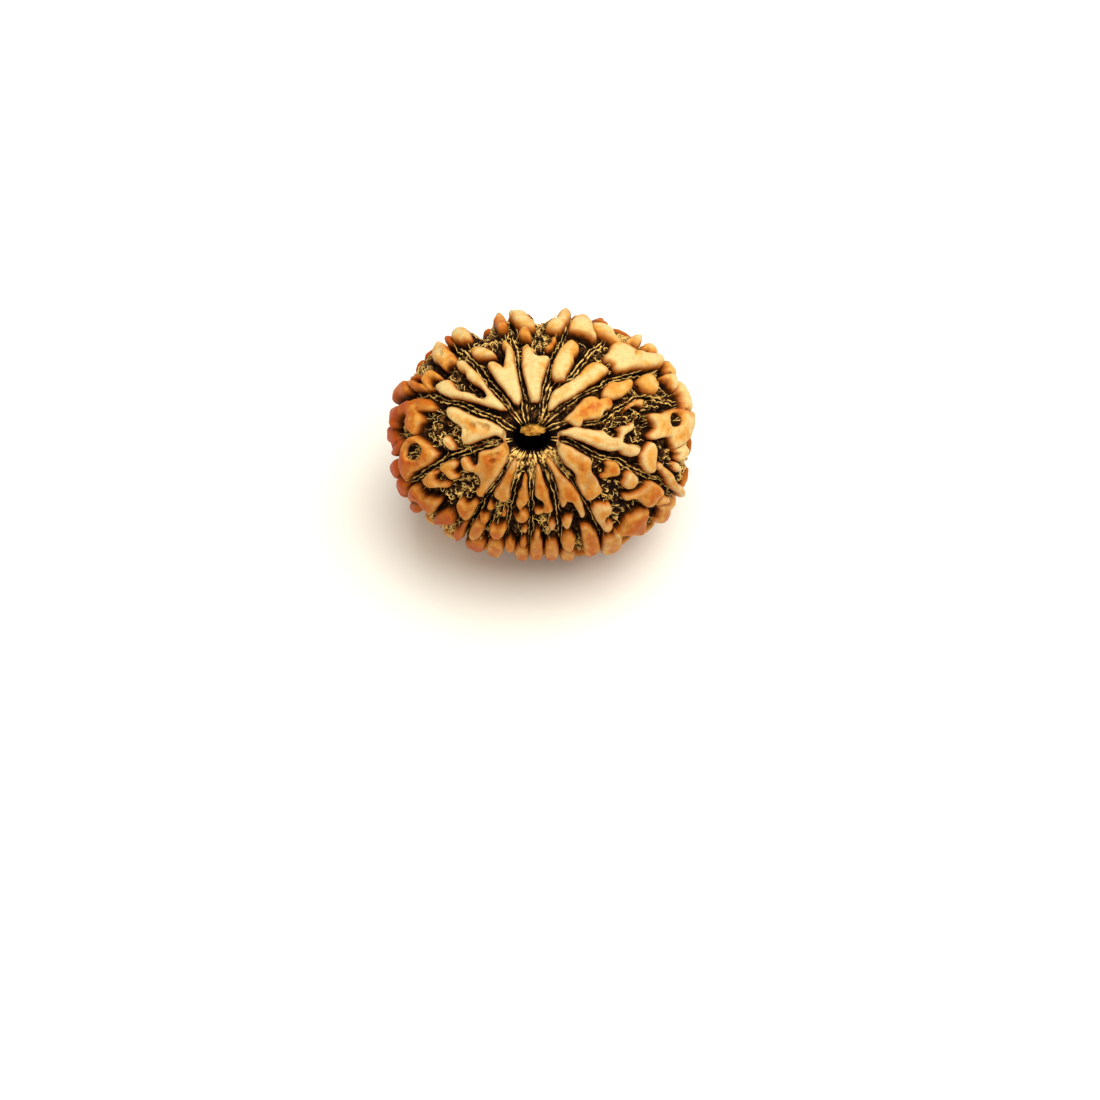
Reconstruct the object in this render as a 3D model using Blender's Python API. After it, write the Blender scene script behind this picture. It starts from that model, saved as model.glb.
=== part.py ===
"""Rudraksha seed, oblong, about 27 mm across: one grown piece with a natural bore.

The face that is seen down the bore follows a hand-measured plan: the outline of each raised lobe, the
course of each seam, and the pits. The hidden side follows the same habit by a seeded rule.
"""
from math import pi, radians
import random

import bmesh
import bpy
import numpy as np

# One unit of the plan of the face, in metres, and where the bore stands on the plan.
UNIT = 0.0885e-3
BORE_ACROSS = 531.0
BORE_DOWN = 436.0

# The whole seed over its lobes.
HALF_LENGTH = 13.5e-3
HALF_WIDTH = 11.05e-3
HALF_DEPTH = 10.6e-3
LOBE_HEIGHT = 1.28e-3

# The bore stands a little off the middle of the seed.
MIDDLE_ACROSS = 0.84e-3
MIDDLE_UP = 0.27e-3

# How full the rim is above and below the bore, and how full the body is along the bore.
UPPER_FULLNESS = 2.05
LOWER_LEFT_FULLNESS = 2.28
LOWER_RIGHT_FULLNESS = 2.45
BARREL = 0.92

# The bore, its flared mouth and the dimple round it. Both are wider across than up.
BORE_RADIUS = 1.38e-3
BORE_OVAL = 0.17
MOUTH_RADIUS = 1.95e-3
MOUTH_OVAL = 0.10
MOUTH_DEPTH = 1.9e-3
DIMPLE_DEPTH = 0.9e-3
DIMPLE_RADIUS = 2.4e-3

# Between the mouths the bore narrows to a waist and bows down, so it is dark inside.
BORE_WAIST = 0.85e-3
BORE_BOW = 2.0e-3

# The pale fibre remnant on the upper wall of the bore, near the mouth.
FIBRE_TURN = radians(86)
FIBRE_REACH = 0.85e-3
FIBRE_DEPTH = 1.1e-3
FIBRE_THICKNESS = 0.55e-3
FIBRE_HALF_ANGLE = radians(52)

# Shoulders of a lobe: how far its foot spreads, how wide the rounding is and how much the top swells.
# A lobe too narrow for whole shoulders is lower as well.
FOOT_SPREAD = 0.08e-3
SHOULDER = 0.46e-3
LEAST_SHOULDER = 0.25e-3
SHOULDER_POWER = 2.2
NARROW_SHARE = 0.45
SWELL = 0.16e-3
SWELL_WIDTH = 0.9e-3

# Seams between the natural faces: a groove with a low ridge in it.
GROOVE_DEPTH = 0.32e-3
GROOVE_WIDTH = 0.62e-3
RIDGE_HEIGHT = 0.55e-3
RIDGE_WIDTH = 0.26e-3

# Crust of the ground between the lobes: seeded waves that cross each other.
CRUST_HEIGHT = 0.13e-3
CRUST_LENGTH = 0.95e-3
CRUST_WAVES = 9
CRUST_SEED = 5

# How the seed lies: the bore leans back from upright, and the seed rests on a small worn flat.
BORE_ELEVATION = radians(54)
FLAT_DROP = 0.30e-3
REST_LOBE_LENGTH = 3.3e-3
REST_LOBE_WIDTH = 2.7e-3
REST_LOBE_HEIGHT = 1.16e-3
REST_LOBE_WAVE = 0.05
REST_LOBE_SHOULDER = 0.62e-3

# Fineness of the surface.
TURNS = 330
OUTER_ROWS = 132
SOFTENING = 1
LIP_ROWS = 10
WALL_ROWS = 16
TRIANGLES = 11600

# Outlines of the lobes on the face, in plan units, clockwise or not, as they lie round the bore.
FACE_LOBES = {
    "fork": "505,340 510,345 513,352 514,362 517,374 519,386 520,396 517,401 512,400 507,393 502,387 "
            "496,380 490,372 486,366 487,362 493,361 499,364 502,367 504,358 505,350 501,347 501,342",
    "wedge_up": "522,347 527,346 533,348 537,352 541,355 548,355 550,358 548,363 546,368 544,374 542,382 "
                "541,390 540,397 537,399 531,398 528,392 526,382 523,374 521,364 521,354",
    "teardrop": "572,340 577,343 580,347 579,352 575,356 574,362 571,368 567,374 565,379 556,379 552,375 "
                "552,366 554,360 557,354 560,349 563,345 568,341",
    "diagonal": "555,388 567,382 575,378 581,372 586,366 593,362 601,363 607,367 612,370 606,374 600,379 "
                "591,384 583,389 576,394 568,398 560,402 554,406 549,408 549,401 552,394",
    "saddle": "565,418 571,412 576,407 581,401 585,397 590,395 596,395 600,398 604,397 609,396 612,399 "
              "613,404 611,408 606,409 603,412 602,416 597,418 590,418 584,419 583,424 579,427 575,424 570,420",
    "boot": "605,387 608,383 612,381 618,382 624,380 630,379 633,382 632,387 629,391 624,395 617,398 "
            "612,399 608,398 603,396 603,391",
    "branch": "554,439 556,433 560,430 571,427 577,425 583,427 594,429 604,429 608,433 614,437 619,436 "
              "620,431 619,427 622,425 628,424 631,421 634,423 633,428 628,431 624,435 623,441 628,443 "
              "634,443 639,446 640,450 637,454 631,456 624,454 619,449 609,450 600,448 592,444 583,440 "
              "575,437 568,434 562,434 559,438 557,441",
    "club": "555,438 557,444 560,451 563,458 567,464 573,469 577,473 578,480 580,486 584,493 589,499 "
            "594,498 599,494 604,490 601,484 598,477 593,472 592,467 593,461 591,457 586,454 580,451 "
            "574,447 567,444 562,441 560,437",
    "trousers": "547,456 551,458 555,463 559,469 564,475 570,481 576,487 580,493 583,500 585,506 587,512 "
                "586,516 583,516 580,511 577,505 574,501 569,500 567,503 564,507 562,503 560,497 560,490 "
                "558,483 556,476 552,469 548,462",
    "spear": "537,464 540,467 542,474 545,482 548,490 550,498 552,505 553,510 548,511 541,512 535,513 "
             "534,509 537,508 543,508 545,504 543,500 538,498 535,495 535,489 535,482 536,474",
    "vase": "524,474 526,479 526,486 527,493 528,499 525,503 521,506 521,509 524,509 527,512 528,516 "
            "525,520 521,521 517,520 514,518 511,516 515,516 518,514 519,510 516,506 515,502 517,497 "
            "517,492 521,487 521,481 523,476",
    "paddle": "513,458 514,463 514,469 512,474 510,480 508,486 508,492 508,497 505,500 500,501 496,498 "
              "492,496 492,491 495,487 499,482 502,477 504,472 507,467 510,462",
    "anchor": "507,450 505,455 503,462 500,468 497,474 493,479 489,484 484,489 481,494 478,496 475,493 "
              "473,489 477,486 478,482 478,478 476,474 472,471 467,470 463,469 460,464 459,459 462,456 "
              "466,457 469,461 471,465 474,465 476,462 476,457 476,452 480,450 487,449 493,447 499,442 503,440 506,444",
    "tongue": "506,438 505,433 501,428 496,424 490,421 484,418 477,417 470,414 464,411 458,408 451,406 "
              "446,406 445,411 447,416 451,420 457,423 460,427 460,433 460,438 463,443 468,443 474,441 "
              "480,438 486,436 492,434 496,435 499,438 501,442",
    "hairpin": "455,361 462,360 468,365 474,370 479,376 484,383 489,390 495,397 501,402 504,407 499,408 "
               "490,406 480,403 470,400 460,398 450,397 442,394 436,390 433,386 437,383 442,380 448,379 "
               "451,382 455,388 460,391 466,391 471,393 476,397 482,398 485,395 482,389 478,385 471,382 "
               "466,378 464,372 459,370 455,367",
    "double_knob": "431,352 434,348 437,344 441,343 445,346 447,350 451,353 455,358 456,362 449,363 "
                   "446,365 443,369 440,366 437,363 432,361 431,356",
    "eyelid": "421,381 424,376 427,372 432,371 436,373 440,377 441,380 437,378 433,378 429,379 429,384 "
              "431,388 428,390 424,386",
    "step": "408,381 413,380 418,383 423,384 427,388 426,390 420,390 414,390 410,388 408,386",
    "shoulder_left": "400,381 404,380 408,382 409,388 408,392 404,395 400,396 396,400 393,403 389,400 "
                     "389,395 392,390 396,386",
    "thin_arc": "409,380 412,377 418,375 425,376 422,379 416,379 412,381",
    "plate_left": "401,404 406,401 411,400 416,398 422,398 428,399 432,402 435,406 434,409 429,410 422,410 "
                  "418,411 421,415 422,420 419,423 417,428 415,433 412,434 409,430 406,427 405,422 406,416 "
                  "405,412 402,413 399,416 396,421 396,426 394,428 391,424 390,418 391,412 393,408",
    "rim_left_1": "390,424 393,428 396,433 399,437 398,441 395,445 390,441 387,436 386,430",
    "rim_left_2": "399,440 402,438 403,443 400,449 397,453 394,455 393,450 395,445",
    "ring": "404,442 409,436 415,434 419,437 424,441 429,445 433,449 436,453 434,457 430,461 424,465 "
            "417,468 411,471 408,475 406,479 403,475 401,469 399,463 400,458 401,454 401,450 402,446",
    "kidney": "441,438 444,435 448,436 451,440 454,445 453,449 449,449 445,446 442,442",
    "crescent": "436,470 430,469 425,473 422,477 424,482 430,486 438,485 447,486 448,482 444,480 437,481 "
                "433,478 433,474 437,471",
    "wedge_left": "438,466 442,462 447,460 452,459 456,462 454,466 451,469 453,472 457,474 456,477 450,478 "
                  "447,476 444,472 440,469",
    "heart": "454,504 455,500 458,498 461,500 463,503 466,503 469,500 473,499 476,502 474,506 471,511 "
             "468,516 464,519 461,517 457,512 455,508",
    "drop_left": "461,520 465,521 463,525 462,530 460,535 456,539 452,537 451,531 452,527 457,527",
    "arrow_left": "409,486 412,483 416,485 418,490 421,495 427,495 433,497 438,498 438,502 434,506 431,511 "
                  "426,509 421,505 417,500 412,498 408,498 407,494 408,490",
    "rim_left_3": "394,458 398,457 399,464 400,471 399,476 396,478 392,474 391,467 392,461",
    "rim_left_4": "400,474 403,478 406,482 406,489 404,495 399,499 394,496 392,490 393,484 396,479",
    "rim_left_5": "408,501 413,501 418,503 420,508 416,511 411,512 408,507",
    "rim_left_6": "431,517 434,513 438,511 444,508 449,510 452,515 452,521 446,522 439,521 432,521",
    "oval": "474,519 479,519 483,522 482,528 479,533 474,537 469,537 466,533 467,528 470,523",
    "low_1": "463,539 470,537 478,538 483,541 482,547 475,549 467,549 462,545",
    "low_2": "484,508 485,504 488,500 490,503 492,507 489,509",
    "low_3": "477,512 480,514 486,513 487,518 484,521 479,519",
    "low_4": "500,514 502,509 504,510 504,514 502,517",
    "cup": "487,526 490,524 494,526 499,525 503,523 505,527 502,533 497,537 491,536 487,531",
    "low_5": "486,540 491,538 497,539 501,543 502,549 498,553 491,553 485,551 484,545",
    "low_6": "503,541 508,538 513,542 513,547 508,549 504,546",
    "low_7": "521,529 523,526 526,527 526,531 523,532",
    "low_8": "518,543 520,539 524,538 526,543 522,546",
    "low_9": "514,556 513,550 516,546 522,545 527,548 528,555 527,562 520,563 515,562",
    "pin": "534,532 537,529 540,532 539,536 542,541 543,549 543,557 539,561 532,561 529,556 529,549 530,541 534,537",
    "low_10": "546,542 551,540 557,541 560,547 560,556 556,560 549,560 545,556 545,549",
    "low_11": "549,524 551,521 555,521 556,525 554,528 551,528",
    "low_12": "563,520 567,516 574,516 573,522 569,528 565,525",
    "low_13": "565,534 569,532 574,533 577,537 577,542 575,547 571,548 566,547 563,543 563,538",
    "low_14": "562,552 566,548 572,548 577,551 578,558 576,564 567,565 562,562",
    "shin": "582,525 588,524 593,526 598,531 601,538 603,546 602,553 596,557 589,555 586,548 585,539 584,532",
    "hook": "594,507 597,503 602,502 607,503 611,502 614,506 613,511 609,514 607,518 609,522 612,520 "
            "616,522 613,526 609,529 605,528 602,523 598,517 595,512",
    "foot_right": "606,538 611,536 616,534 618,530 623,529 624,536 625,543 625,550 621,557 613,559 607,556 "
                  "605,549 605,543",
    "low_plate": "629,516 636,512 643,508 650,507 650,512 648,518 648,524 645,529 638,531 630,531 622,532 "
                 "619,531 624,525 626,520",
    "rim_right_1": "660,504 664,502 670,503 672,508 673,514 671,518 667,521 660,520 655,519 660,515 662,509",
    "rim_right_2": "660,497 664,494 669,495 669,499 666,501 661,502 656,503",
    "butterfly": "646,485 648,481 652,480 657,482 661,485 664,489 662,493 658,496 655,500 652,504 648,505 "
                 "645,503 642,500 638,497 633,497 628,499 625,497 625,493 630,492 636,491 641,489",
    "square": "605,461 609,459 615,460 619,463 621,468 621,473 618,475 612,475 606,477 601,477 602,474 "
              "606,471 607,466",
    "bead_low": "628,470 632,470 636,473 639,477 638,482 634,486 629,488 625,486 623,482 625,479 626,474",
    "leaf": "647,444 650,440 654,442 656,447 656,454 655,461 656,467 654,471 650,472 646,470 643,466 "
            "641,460 641,454 643,450",
    "ramp_right": "656,464 660,461 663,465 667,468 671,472 674,477 676,482 680,483 684,487 685,492 682,496 "
                  "679,494 677,490 673,488 669,484 666,479 664,474 661,469 657,467",
    "rim_right_3": "673,449 677,446 682,442 685,448 684,453 681,458 678,461 676,457 677,452",
    "rim_right_4": "673,460 677,461 680,467 677,471 673,468",
    "bird": "648,414 654,412 661,413 666,410 673,408 680,408 686,410 692,410 694,416 692,424 690,431 "
            "686,438 682,443 677,446 673,448 671,442 669,436 662,436 656,438 650,438 648,434 652,430 "
            "655,427 654,422 651,418",
    "rim_right_5": "675,382 681,384 684,390 687,397 691,402 694,409 688,411 682,409 681,402 679,396 676,391",
    "rim_right_6": "661,377 665,375 670,374 673,377 675,382 676,388 674,391 671,387 668,382 664,380",
    "thin_hook": "622,413 626,407 631,402 637,399 645,399 643,402 645,407 641,405 636,404 630,406 626,410",
    "bead_high": "637,380 641,376 646,374 651,375 654,379 657,385 658,390 655,393 650,393 645,391 641,387 "
                 "638,384",
    "star": "605,356 609,352 611,348 613,344 618,343 624,345 629,346 632,349 636,351 640,352 645,354 "
            "650,355 656,355 660,356 663,360 664,365 660,367 654,367 648,368 640,368 632,369 625,371 "
            "619,371 615,368 614,364 610,361 606,360",
    "top_1": "625,343 629,340 634,337 639,337 643,340 642,344 639,347 634,345 629,345",
    "top_2": "642,348 645,345 650,345 653,348 656,352 658,356 652,356 649,352 645,351",
    "top_3": "664,360 669,366 673,372 674,378 669,377 665,370",
    "top_4": "592,322 598,325 605,327 611,330 614,334 616,338 620,341 624,343 620,346 614,342 608,338 "
             "602,334 597,332 594,328",
    "top_5": "573,320 577,317 583,316 589,318 592,322 594,327 596,333 598,339 594,338 588,334 582,332 "
             "576,330 570,329 570,325",
    "top_6": "546,327 549,322 553,320 557,319 558,314 561,310 565,308 570,309 572,313 571,318 568,322 "
             "565,326 561,330 556,331 552,330 547,329",
    "top_7": "507,311 513,311 519,312 525,313 529,318 532,323 536,327 530,328 522,327 515,324 512,320 508,317",
    "top_8": "518,331 521,328 526,327 529,330 531,335 531,339 526,338 521,337 518,334",
    "top_9": "544,347 549,344 552,340 552,336 556,336 557,340 553,346 548,349",
    "top_10": "492,322 494,317 497,314 501,314 504,318 506,323 506,328 502,330 497,330 495,326",
    "top_11": "449,336 452,332 456,329 461,328 466,330 469,334 470,338 465,340 458,341 451,340",
    "top_12": "442,340 446,337 450,337 450,342 445,343",
    "top_13": "469,350 473,348 479,347 485,348 491,351 495,355 489,357 482,357 476,357 471,355",
}

# Pits in the lobes and in the ground: across, down, radius, all in plan units, and depth in metres.
PITS = [
    (538, 352, 5.0, 0.9e-3), (536, 363, 2.2, 0.2e-3), (637, 357, 4.4, 0.5e-3), (673, 419, 7.5, 1.2e-3),
    (414, 450, 9.3, 1.4e-3), (540, 503, 5.0, 0.8e-3), (490, 460, 2.8, 0.45e-3), (581, 468, 2.2, 0.2e-3),
    (501, 352, 3.0, 0.6e-3), (569, 321, 2.5, 0.5e-3), (472, 455, 2.6, 0.5e-3), (471, 425, 3.6, 0.42e-3),
    (477, 423, 3.2, 0.20e-3), (484, 426, 3.8, 0.52e-3), (491, 425, 3.2, 0.28e-3), (488, 455, 2.8, 0.28e-3),
    (494, 454, 2.6, 0.24e-3), (465, 428, 2.8, 0.20e-3), (537, 372, 3.0, 0.15e-3),
    (584, 405, 6.0, 0.20e-3), (448, 356, 3.0, 0.30e-3), (441, 357, 3.0, 0.30e-3), (416, 404, 4.0, 0.25e-3),
]

PIT_STEEPNESS = 1.7
HOLLOW_STEEPNESS = 1.5

# Hollows where the ground sinks between the lobes: across, down, half width, half length away from the
# bore, all in plan units, and depth in metres.
HOLLOWS = [
    (479, 324, 14.0, 60.0, 1.2e-3), (540, 314, 12.0, 45.0, 0.8e-3), (427, 424, 13.0, 13.0, 0.5e-3),
    (640, 425, 14.0, 14.0, 0.6e-3), (560, 335, 8.0, 12.0, 0.5e-3), (634, 506, 9.0, 9.0, 0.7e-3),
    (502, 512, 12.0, 12.0, 0.4e-3), (461, 486, 12.0, 10.0, 0.5e-3), (401, 420, 10.0, 6.0, 0.9e-3),
    (434, 383, 5.0, 5.0, 0.7e-3), (614, 429, 6.0, 6.0, 0.5e-3),
]

# Courses of the seams from the bore to the rim, in plan units.
SEAMS = [
    "526,418 523,400 519,385 516,365 514,350 508,332 506,312",
    "540,418 541,400 546,385 549,370 551,358 557,350 561,343 566,328 571,312",
    "546,412 549,394 555,384 568,377 575,370 582,362 590,351 602,343 618,330",
    "552,414 560,407 568,402 576,396 584,392 594,388 602,384 608,379 618,377 634,373 646,371 660,371 676,370",
    "553,425 566,421 585,422 600,420 612,411 620,406 634,398 648,397 662,401 678,404 692,402",
    "565,438 576,443 586,449 597,454 607,457 618,459 626,465 636,470 648,475 660,478 670,489 684,500",
    "552,450 557,458 562,466 567,473 573,479 577,486 583,496 589,504 593,513 598,523 603,536 606,552",
    "543,453 546,465 549,475 553,485 556,497 558,508 559,520 560,535 560,556",
    "532,455 531,468 531,480 531,490 530,502 530,515 530,528 529,540 528,558",
    "520,456 518,467 515,478 512,488 510,498 508,510 506,522 503,535 501,554",
    "511,453 506,463 501,475 495,483 487,491 482,499 479,507 476,515 468,520 464,530 462,545",
    "498,440 487,443 477,446 468,450 458,453 448,457 438,462 428,468 418,474 409,482 402,500",
    "507,425 497,418 487,414 477,410 467,405 457,401 445,401 437,397 430,393 420,394 408,397 388,404",
    "513,412 507,402 500,394 492,386 486,378 480,370 472,360 464,353 456,347 448,343 434,340",
]

# The hidden side: rings of lobes from the rim to the far mouth, as polar angle and half length. The edge
# ring has lower lobes, and only in the gaps that the face's lobes leave.
HIDDEN_SEED = 108
HIDDEN_RINGS = [(radians(107), radians(8.0)), (radians(123), radians(8.5)), (radians(147), radians(13.0))]
EDGE_RING = (radians(96), radians(5.5))
EDGE_CLEARANCE = 1.25e-3
EDGE_HEIGHT = 0.8
HIDDEN_SLOT = 2.3e-3
HIDDEN_GAP = 0.62e-3
SIDES_OF_LOBE = 12
HOLLOW_LIMIT = 0.35e-3
SEAM_SWAY = 0.05

# How a hidden lobe varies: its least share of its slot, how far in degrees it may stray and how far its
# neighbours stand out of line, and the least and greatest share of its length, outline and height.
LEAST_OF_SLOT = 0.45
STRAY = 2.0
OUT_OF_LINE = 5.0
LENGTH_SHARE = (0.72, 1.06)
OUTLINE_SHARE = (0.80, 1.12)
HEIGHT_SHARE = (0.82, 1.08)
OUTLINE_POWER = 0.8

# The part of a seam's course that the face gives, the rest of it, and its points there.
SEAM_SHOWN = radians(88)
SEAM_HIDDEN = (radians(92), radians(172))
SEAM_POINTS = 16

# Small ridges that carry the seams over the lip into the bore.
LIP_RIDGE = 0.13e-3
LIP_RIDGE_ANGLE = 0.10

# Share of the rim's distance past which a plan point is carried straight on round the edge, and how far
# inside the outline over the lobes the plan's rim lies, for lobes and for the lower seams and hollows.
TURNING = 0.95
LOBE_INSET = 0.15
LOW_INSET = 0.70

# The plan was measured from close by, which shows the raised middle of the face this much too large.
NEARNESS = 0.05


def smooth(value):
    """Soft step from 0 to 1."""
    value = np.clip(value, 0.0, 1.0)
    return value * value * (3.0 - 2.0 * value)


def read_points(text):
    """Plan points of an outline or a course, in metres across and up from the bore."""
    rows = [pair.split(",") for pair in text.split()]
    across = np.array([float(row[0]) for row in rows]) - BORE_ACROSS
    up = BORE_DOWN - np.array([float(row[1]) for row in rows])
    return np.stack([across, up], axis=1) * UNIT


def wrapped(angle):
    """The same turn between minus and plus half a circle."""
    return np.mod(angle + pi, 2 * pi) - pi


def rim_length(angle, inset):
    """Distance from the bore's axis to the rim, this far inside the outline over the lobes."""
    low = np.zeros_like(angle)
    high = np.full_like(angle, 2.0 * HALF_LENGTH)
    for _ in range(40):
        middle = 0.5 * (low + high)
        across = (middle * np.cos(angle) - MIDDLE_ACROSS) / (HALF_LENGTH - inset)
        up = (middle * np.sin(angle) - MIDDLE_UP) / (HALF_WIDTH - inset)
        lower = np.where(across < 0.0, LOWER_LEFT_FULLNESS, LOWER_RIGHT_FULLNESS)
        power = np.where(up < 0.0, lower, UPPER_FULLNESS)
        inside = np.abs(across) ** power + np.abs(up) ** power < 1.0
        low = np.where(inside, middle, low)
        high = np.where(inside, high, middle)
    return low


ROUND = np.linspace(-pi, pi, 721)
GROUND_RIM = rim_length(ROUND, LOBE_HEIGHT)
LOBE_RIM = rim_length(ROUND, LOBE_INSET * LOBE_HEIGHT)
LOW_RIM = rim_length(ROUND, LOW_INSET * LOBE_HEIGHT)


def ground(polar, angle):
    """Point of the ground between the lobes: across, up and along the bore."""
    reach = np.interp(wrapped(angle), ROUND, GROUND_RIM) * np.sin(polar)
    level = np.cos(polar)
    depth = (HALF_DEPTH - LOBE_HEIGHT) * np.sign(level) * np.abs(level) ** BARREL
    depth = depth - np.sign(level) * DIMPLE_DEPTH * np.exp(-(reach / DIMPLE_RADIUS) ** 2)
    return np.stack([reach * np.cos(angle), reach * np.sin(angle), depth], axis=-1)


def to_polar(points, rim):
    """Polar angle and turn of plan points, carried a little round the rim where they pass it."""
    angle = np.arctan2(points[:, 1], points[:, 0])
    share = np.hypot(points[:, 0], points[:, 1]) / np.interp(angle, ROUND, rim)
    share = share * (1.0 - NEARNESS * np.sqrt(1.0 - np.minimum(share, 1.0) ** 2))
    slope = 1.0 / np.sqrt(1.0 - TURNING ** 2)
    polar = np.arcsin(np.minimum(share, TURNING)) + slope * np.maximum(share - TURNING, 0.0)
    return polar, angle


def unrolled(polar, angle):
    """Flat map of the whole surface, for telling inside from outside."""
    return np.stack([polar * np.cos(angle), polar * np.sin(angle)], axis=-1)


def course_distance(points, course, closed):
    """Distance from each point to a run of straight pieces."""
    ends = np.roll(course, -1, axis=0) if closed else course[1:]
    starts = course if closed else course[:-1]
    nearest = np.full(len(points), 1.0)
    for start, end in zip(starts, ends):
        run = end - start
        along = np.clip((points - start) @ run / max(run @ run, 1e-18), 0.0, 1.0)
        away = points - start - along[:, None] * run
        nearest = np.minimum(nearest, np.sqrt((away * away).sum(axis=1)))
    return nearest


def inside_outline(points, outline):
    """Which flat-map points lie inside a closed outline."""
    inside = np.zeros(len(points), dtype=bool)
    for start, end in zip(outline, np.roll(outline, -1, axis=0)):
        crosses = (start[1] > points[:, 1]) != (end[1] > points[:, 1])
        rise = end[1] - start[1] if end[1] != start[1] else 1e-12
        limit = start[0] + (points[:, 1] - start[1]) * (end[0] - start[0]) / rise
        inside ^= crosses & (points[:, 0] < limit)
    return inside


def sway(polar):
    """Gentle twist that seams and lobes share on the hidden side."""
    return SEAM_SWAY * np.sin(3.0 * (polar - SEAM_HIDDEN[0]))


def rim_turns():
    """Turn at which each seam passes the rim, in order."""
    ends = [to_polar(read_points(text), LOW_RIM) for text in SEAMS]
    return sorted(float(angle[polar < SEAM_SHOWN][-1]) for polar, angle in ends)


def seam_courses():
    """Each seam as points on the ground, from the mouth over the rim to the far mouth."""
    courses = []
    for text in SEAMS:
        polar, angle = to_polar(read_points(text), LOW_RIM)
        shown = polar < SEAM_SHOWN
        back = np.linspace(*SEAM_HIDDEN, SEAM_POINTS)
        polar = np.concatenate([polar[shown], back])
        angle = np.concatenate([angle[shown], angle[shown][-1] + sway(back)])
        courses.append(ground(polar, angle))
    return courses


def hollow(polar, angle):
    """How far the ground sinks into the hollows."""
    total = np.zeros_like(polar)
    for across, down, half_width, half_length, sink in HOLLOWS:
        middle_polar, middle_angle = to_polar(read_points(f"{across},{down}"), LOW_RIM)
        rim = np.interp(middle_angle[0], ROUND, GROUND_RIM)
        aside = wrapped(angle - middle_angle[0]) * rim * np.sin(middle_polar[0]) / (half_width * UNIT)
        along = (polar - middle_polar[0]) * rim / (half_length * UNIT)
        total = np.maximum(total, sink * smooth(HOLLOW_STEEPNESS * (1.0 - np.hypot(aside, along))))
    return total


def face_lobes():
    """Lobes of the measured face: polar angles and turns of each outline, with a height."""
    return [to_polar(read_points(text), LOBE_RIM) + (LOBE_HEIGHT,) for text in FACE_LOBES.values()]


def hidden_lobes():
    """Lobes of the hidden side: rings of them between each pair of seams, varied by a seeded rule."""
    chance = random.Random(HIDDEN_SEED)
    turns = rim_turns()
    taken = np.concatenate([ground(polar, angle) for polar, angle, _ in face_lobes()])
    lobes = []
    for first, second in zip(turns, turns[1:] + [turns[0] + 2 * pi]):
        rim = float(np.interp(wrapped(0.5 * (first + second)), ROUND, GROUND_RIM))
        for middle, half_length in HIDDEN_RINGS + [EDGE_RING]:
            width = (second - first) * rim * np.sin(middle)
            slots = max(1, round(width / HIDDEN_SLOT))
            for slot in range(slots):
                pitch = (second - first) / slots
                half_angle = 0.5 * pitch * max(LEAST_OF_SLOT, 1.0 - HIDDEN_GAP / (width / slots))
                out_of_line = OUT_OF_LINE * ((slot % 2) - 0.5)
                centre = middle + radians(chance.uniform(-STRAY, STRAY) + out_of_line)
                length = half_length * chance.uniform(*LENGTH_SHARE)
                turn = np.linspace(0.0, 2 * pi, SIDES_OF_LOBE, endpoint=False)
                wobble = np.array([chance.uniform(*OUTLINE_SHARE) for _ in range(SIDES_OF_LOBE)])
                polar = centre + length * np.cos(turn) * wobble
                bulge = np.sign(np.sin(turn)) * np.abs(np.sin(turn)) ** OUTLINE_POWER
                aside = half_angle * bulge * wobble
                angle = first + (slot + 0.5) * pitch + aside + sway(polar)
                height = LOBE_HEIGHT * chance.uniform(*HEIGHT_SHARE)
                if middle == EDGE_RING[0]:
                    height = height * EDGE_HEIGHT
                    away = taken - ground(polar, angle).mean(axis=0)
                    if np.sqrt((away * away).sum(axis=1)).min() < EDGE_CLEARANCE:
                        continue
                if hollow(polar, angle).max() < HOLLOW_LIMIT:
                    lobes.append((polar, angle, height))
    return lobes


def crust(points):
    """Low crust of the ground, as a sum of crossing waves."""
    chance = random.Random(CRUST_SEED)
    total = np.zeros(len(points))
    for _ in range(CRUST_WAVES):
        heading = np.array([chance.gauss(0, 1) for _ in range(3)])
        heading = heading / np.linalg.norm(heading) * 2 * pi / (CRUST_LENGTH * chance.uniform(0.8, 1.6))
        total += np.sin(points @ heading + chance.uniform(0, 2 * pi))
    return CRUST_HEIGHT * total / np.sqrt(CRUST_WAVES)


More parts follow.
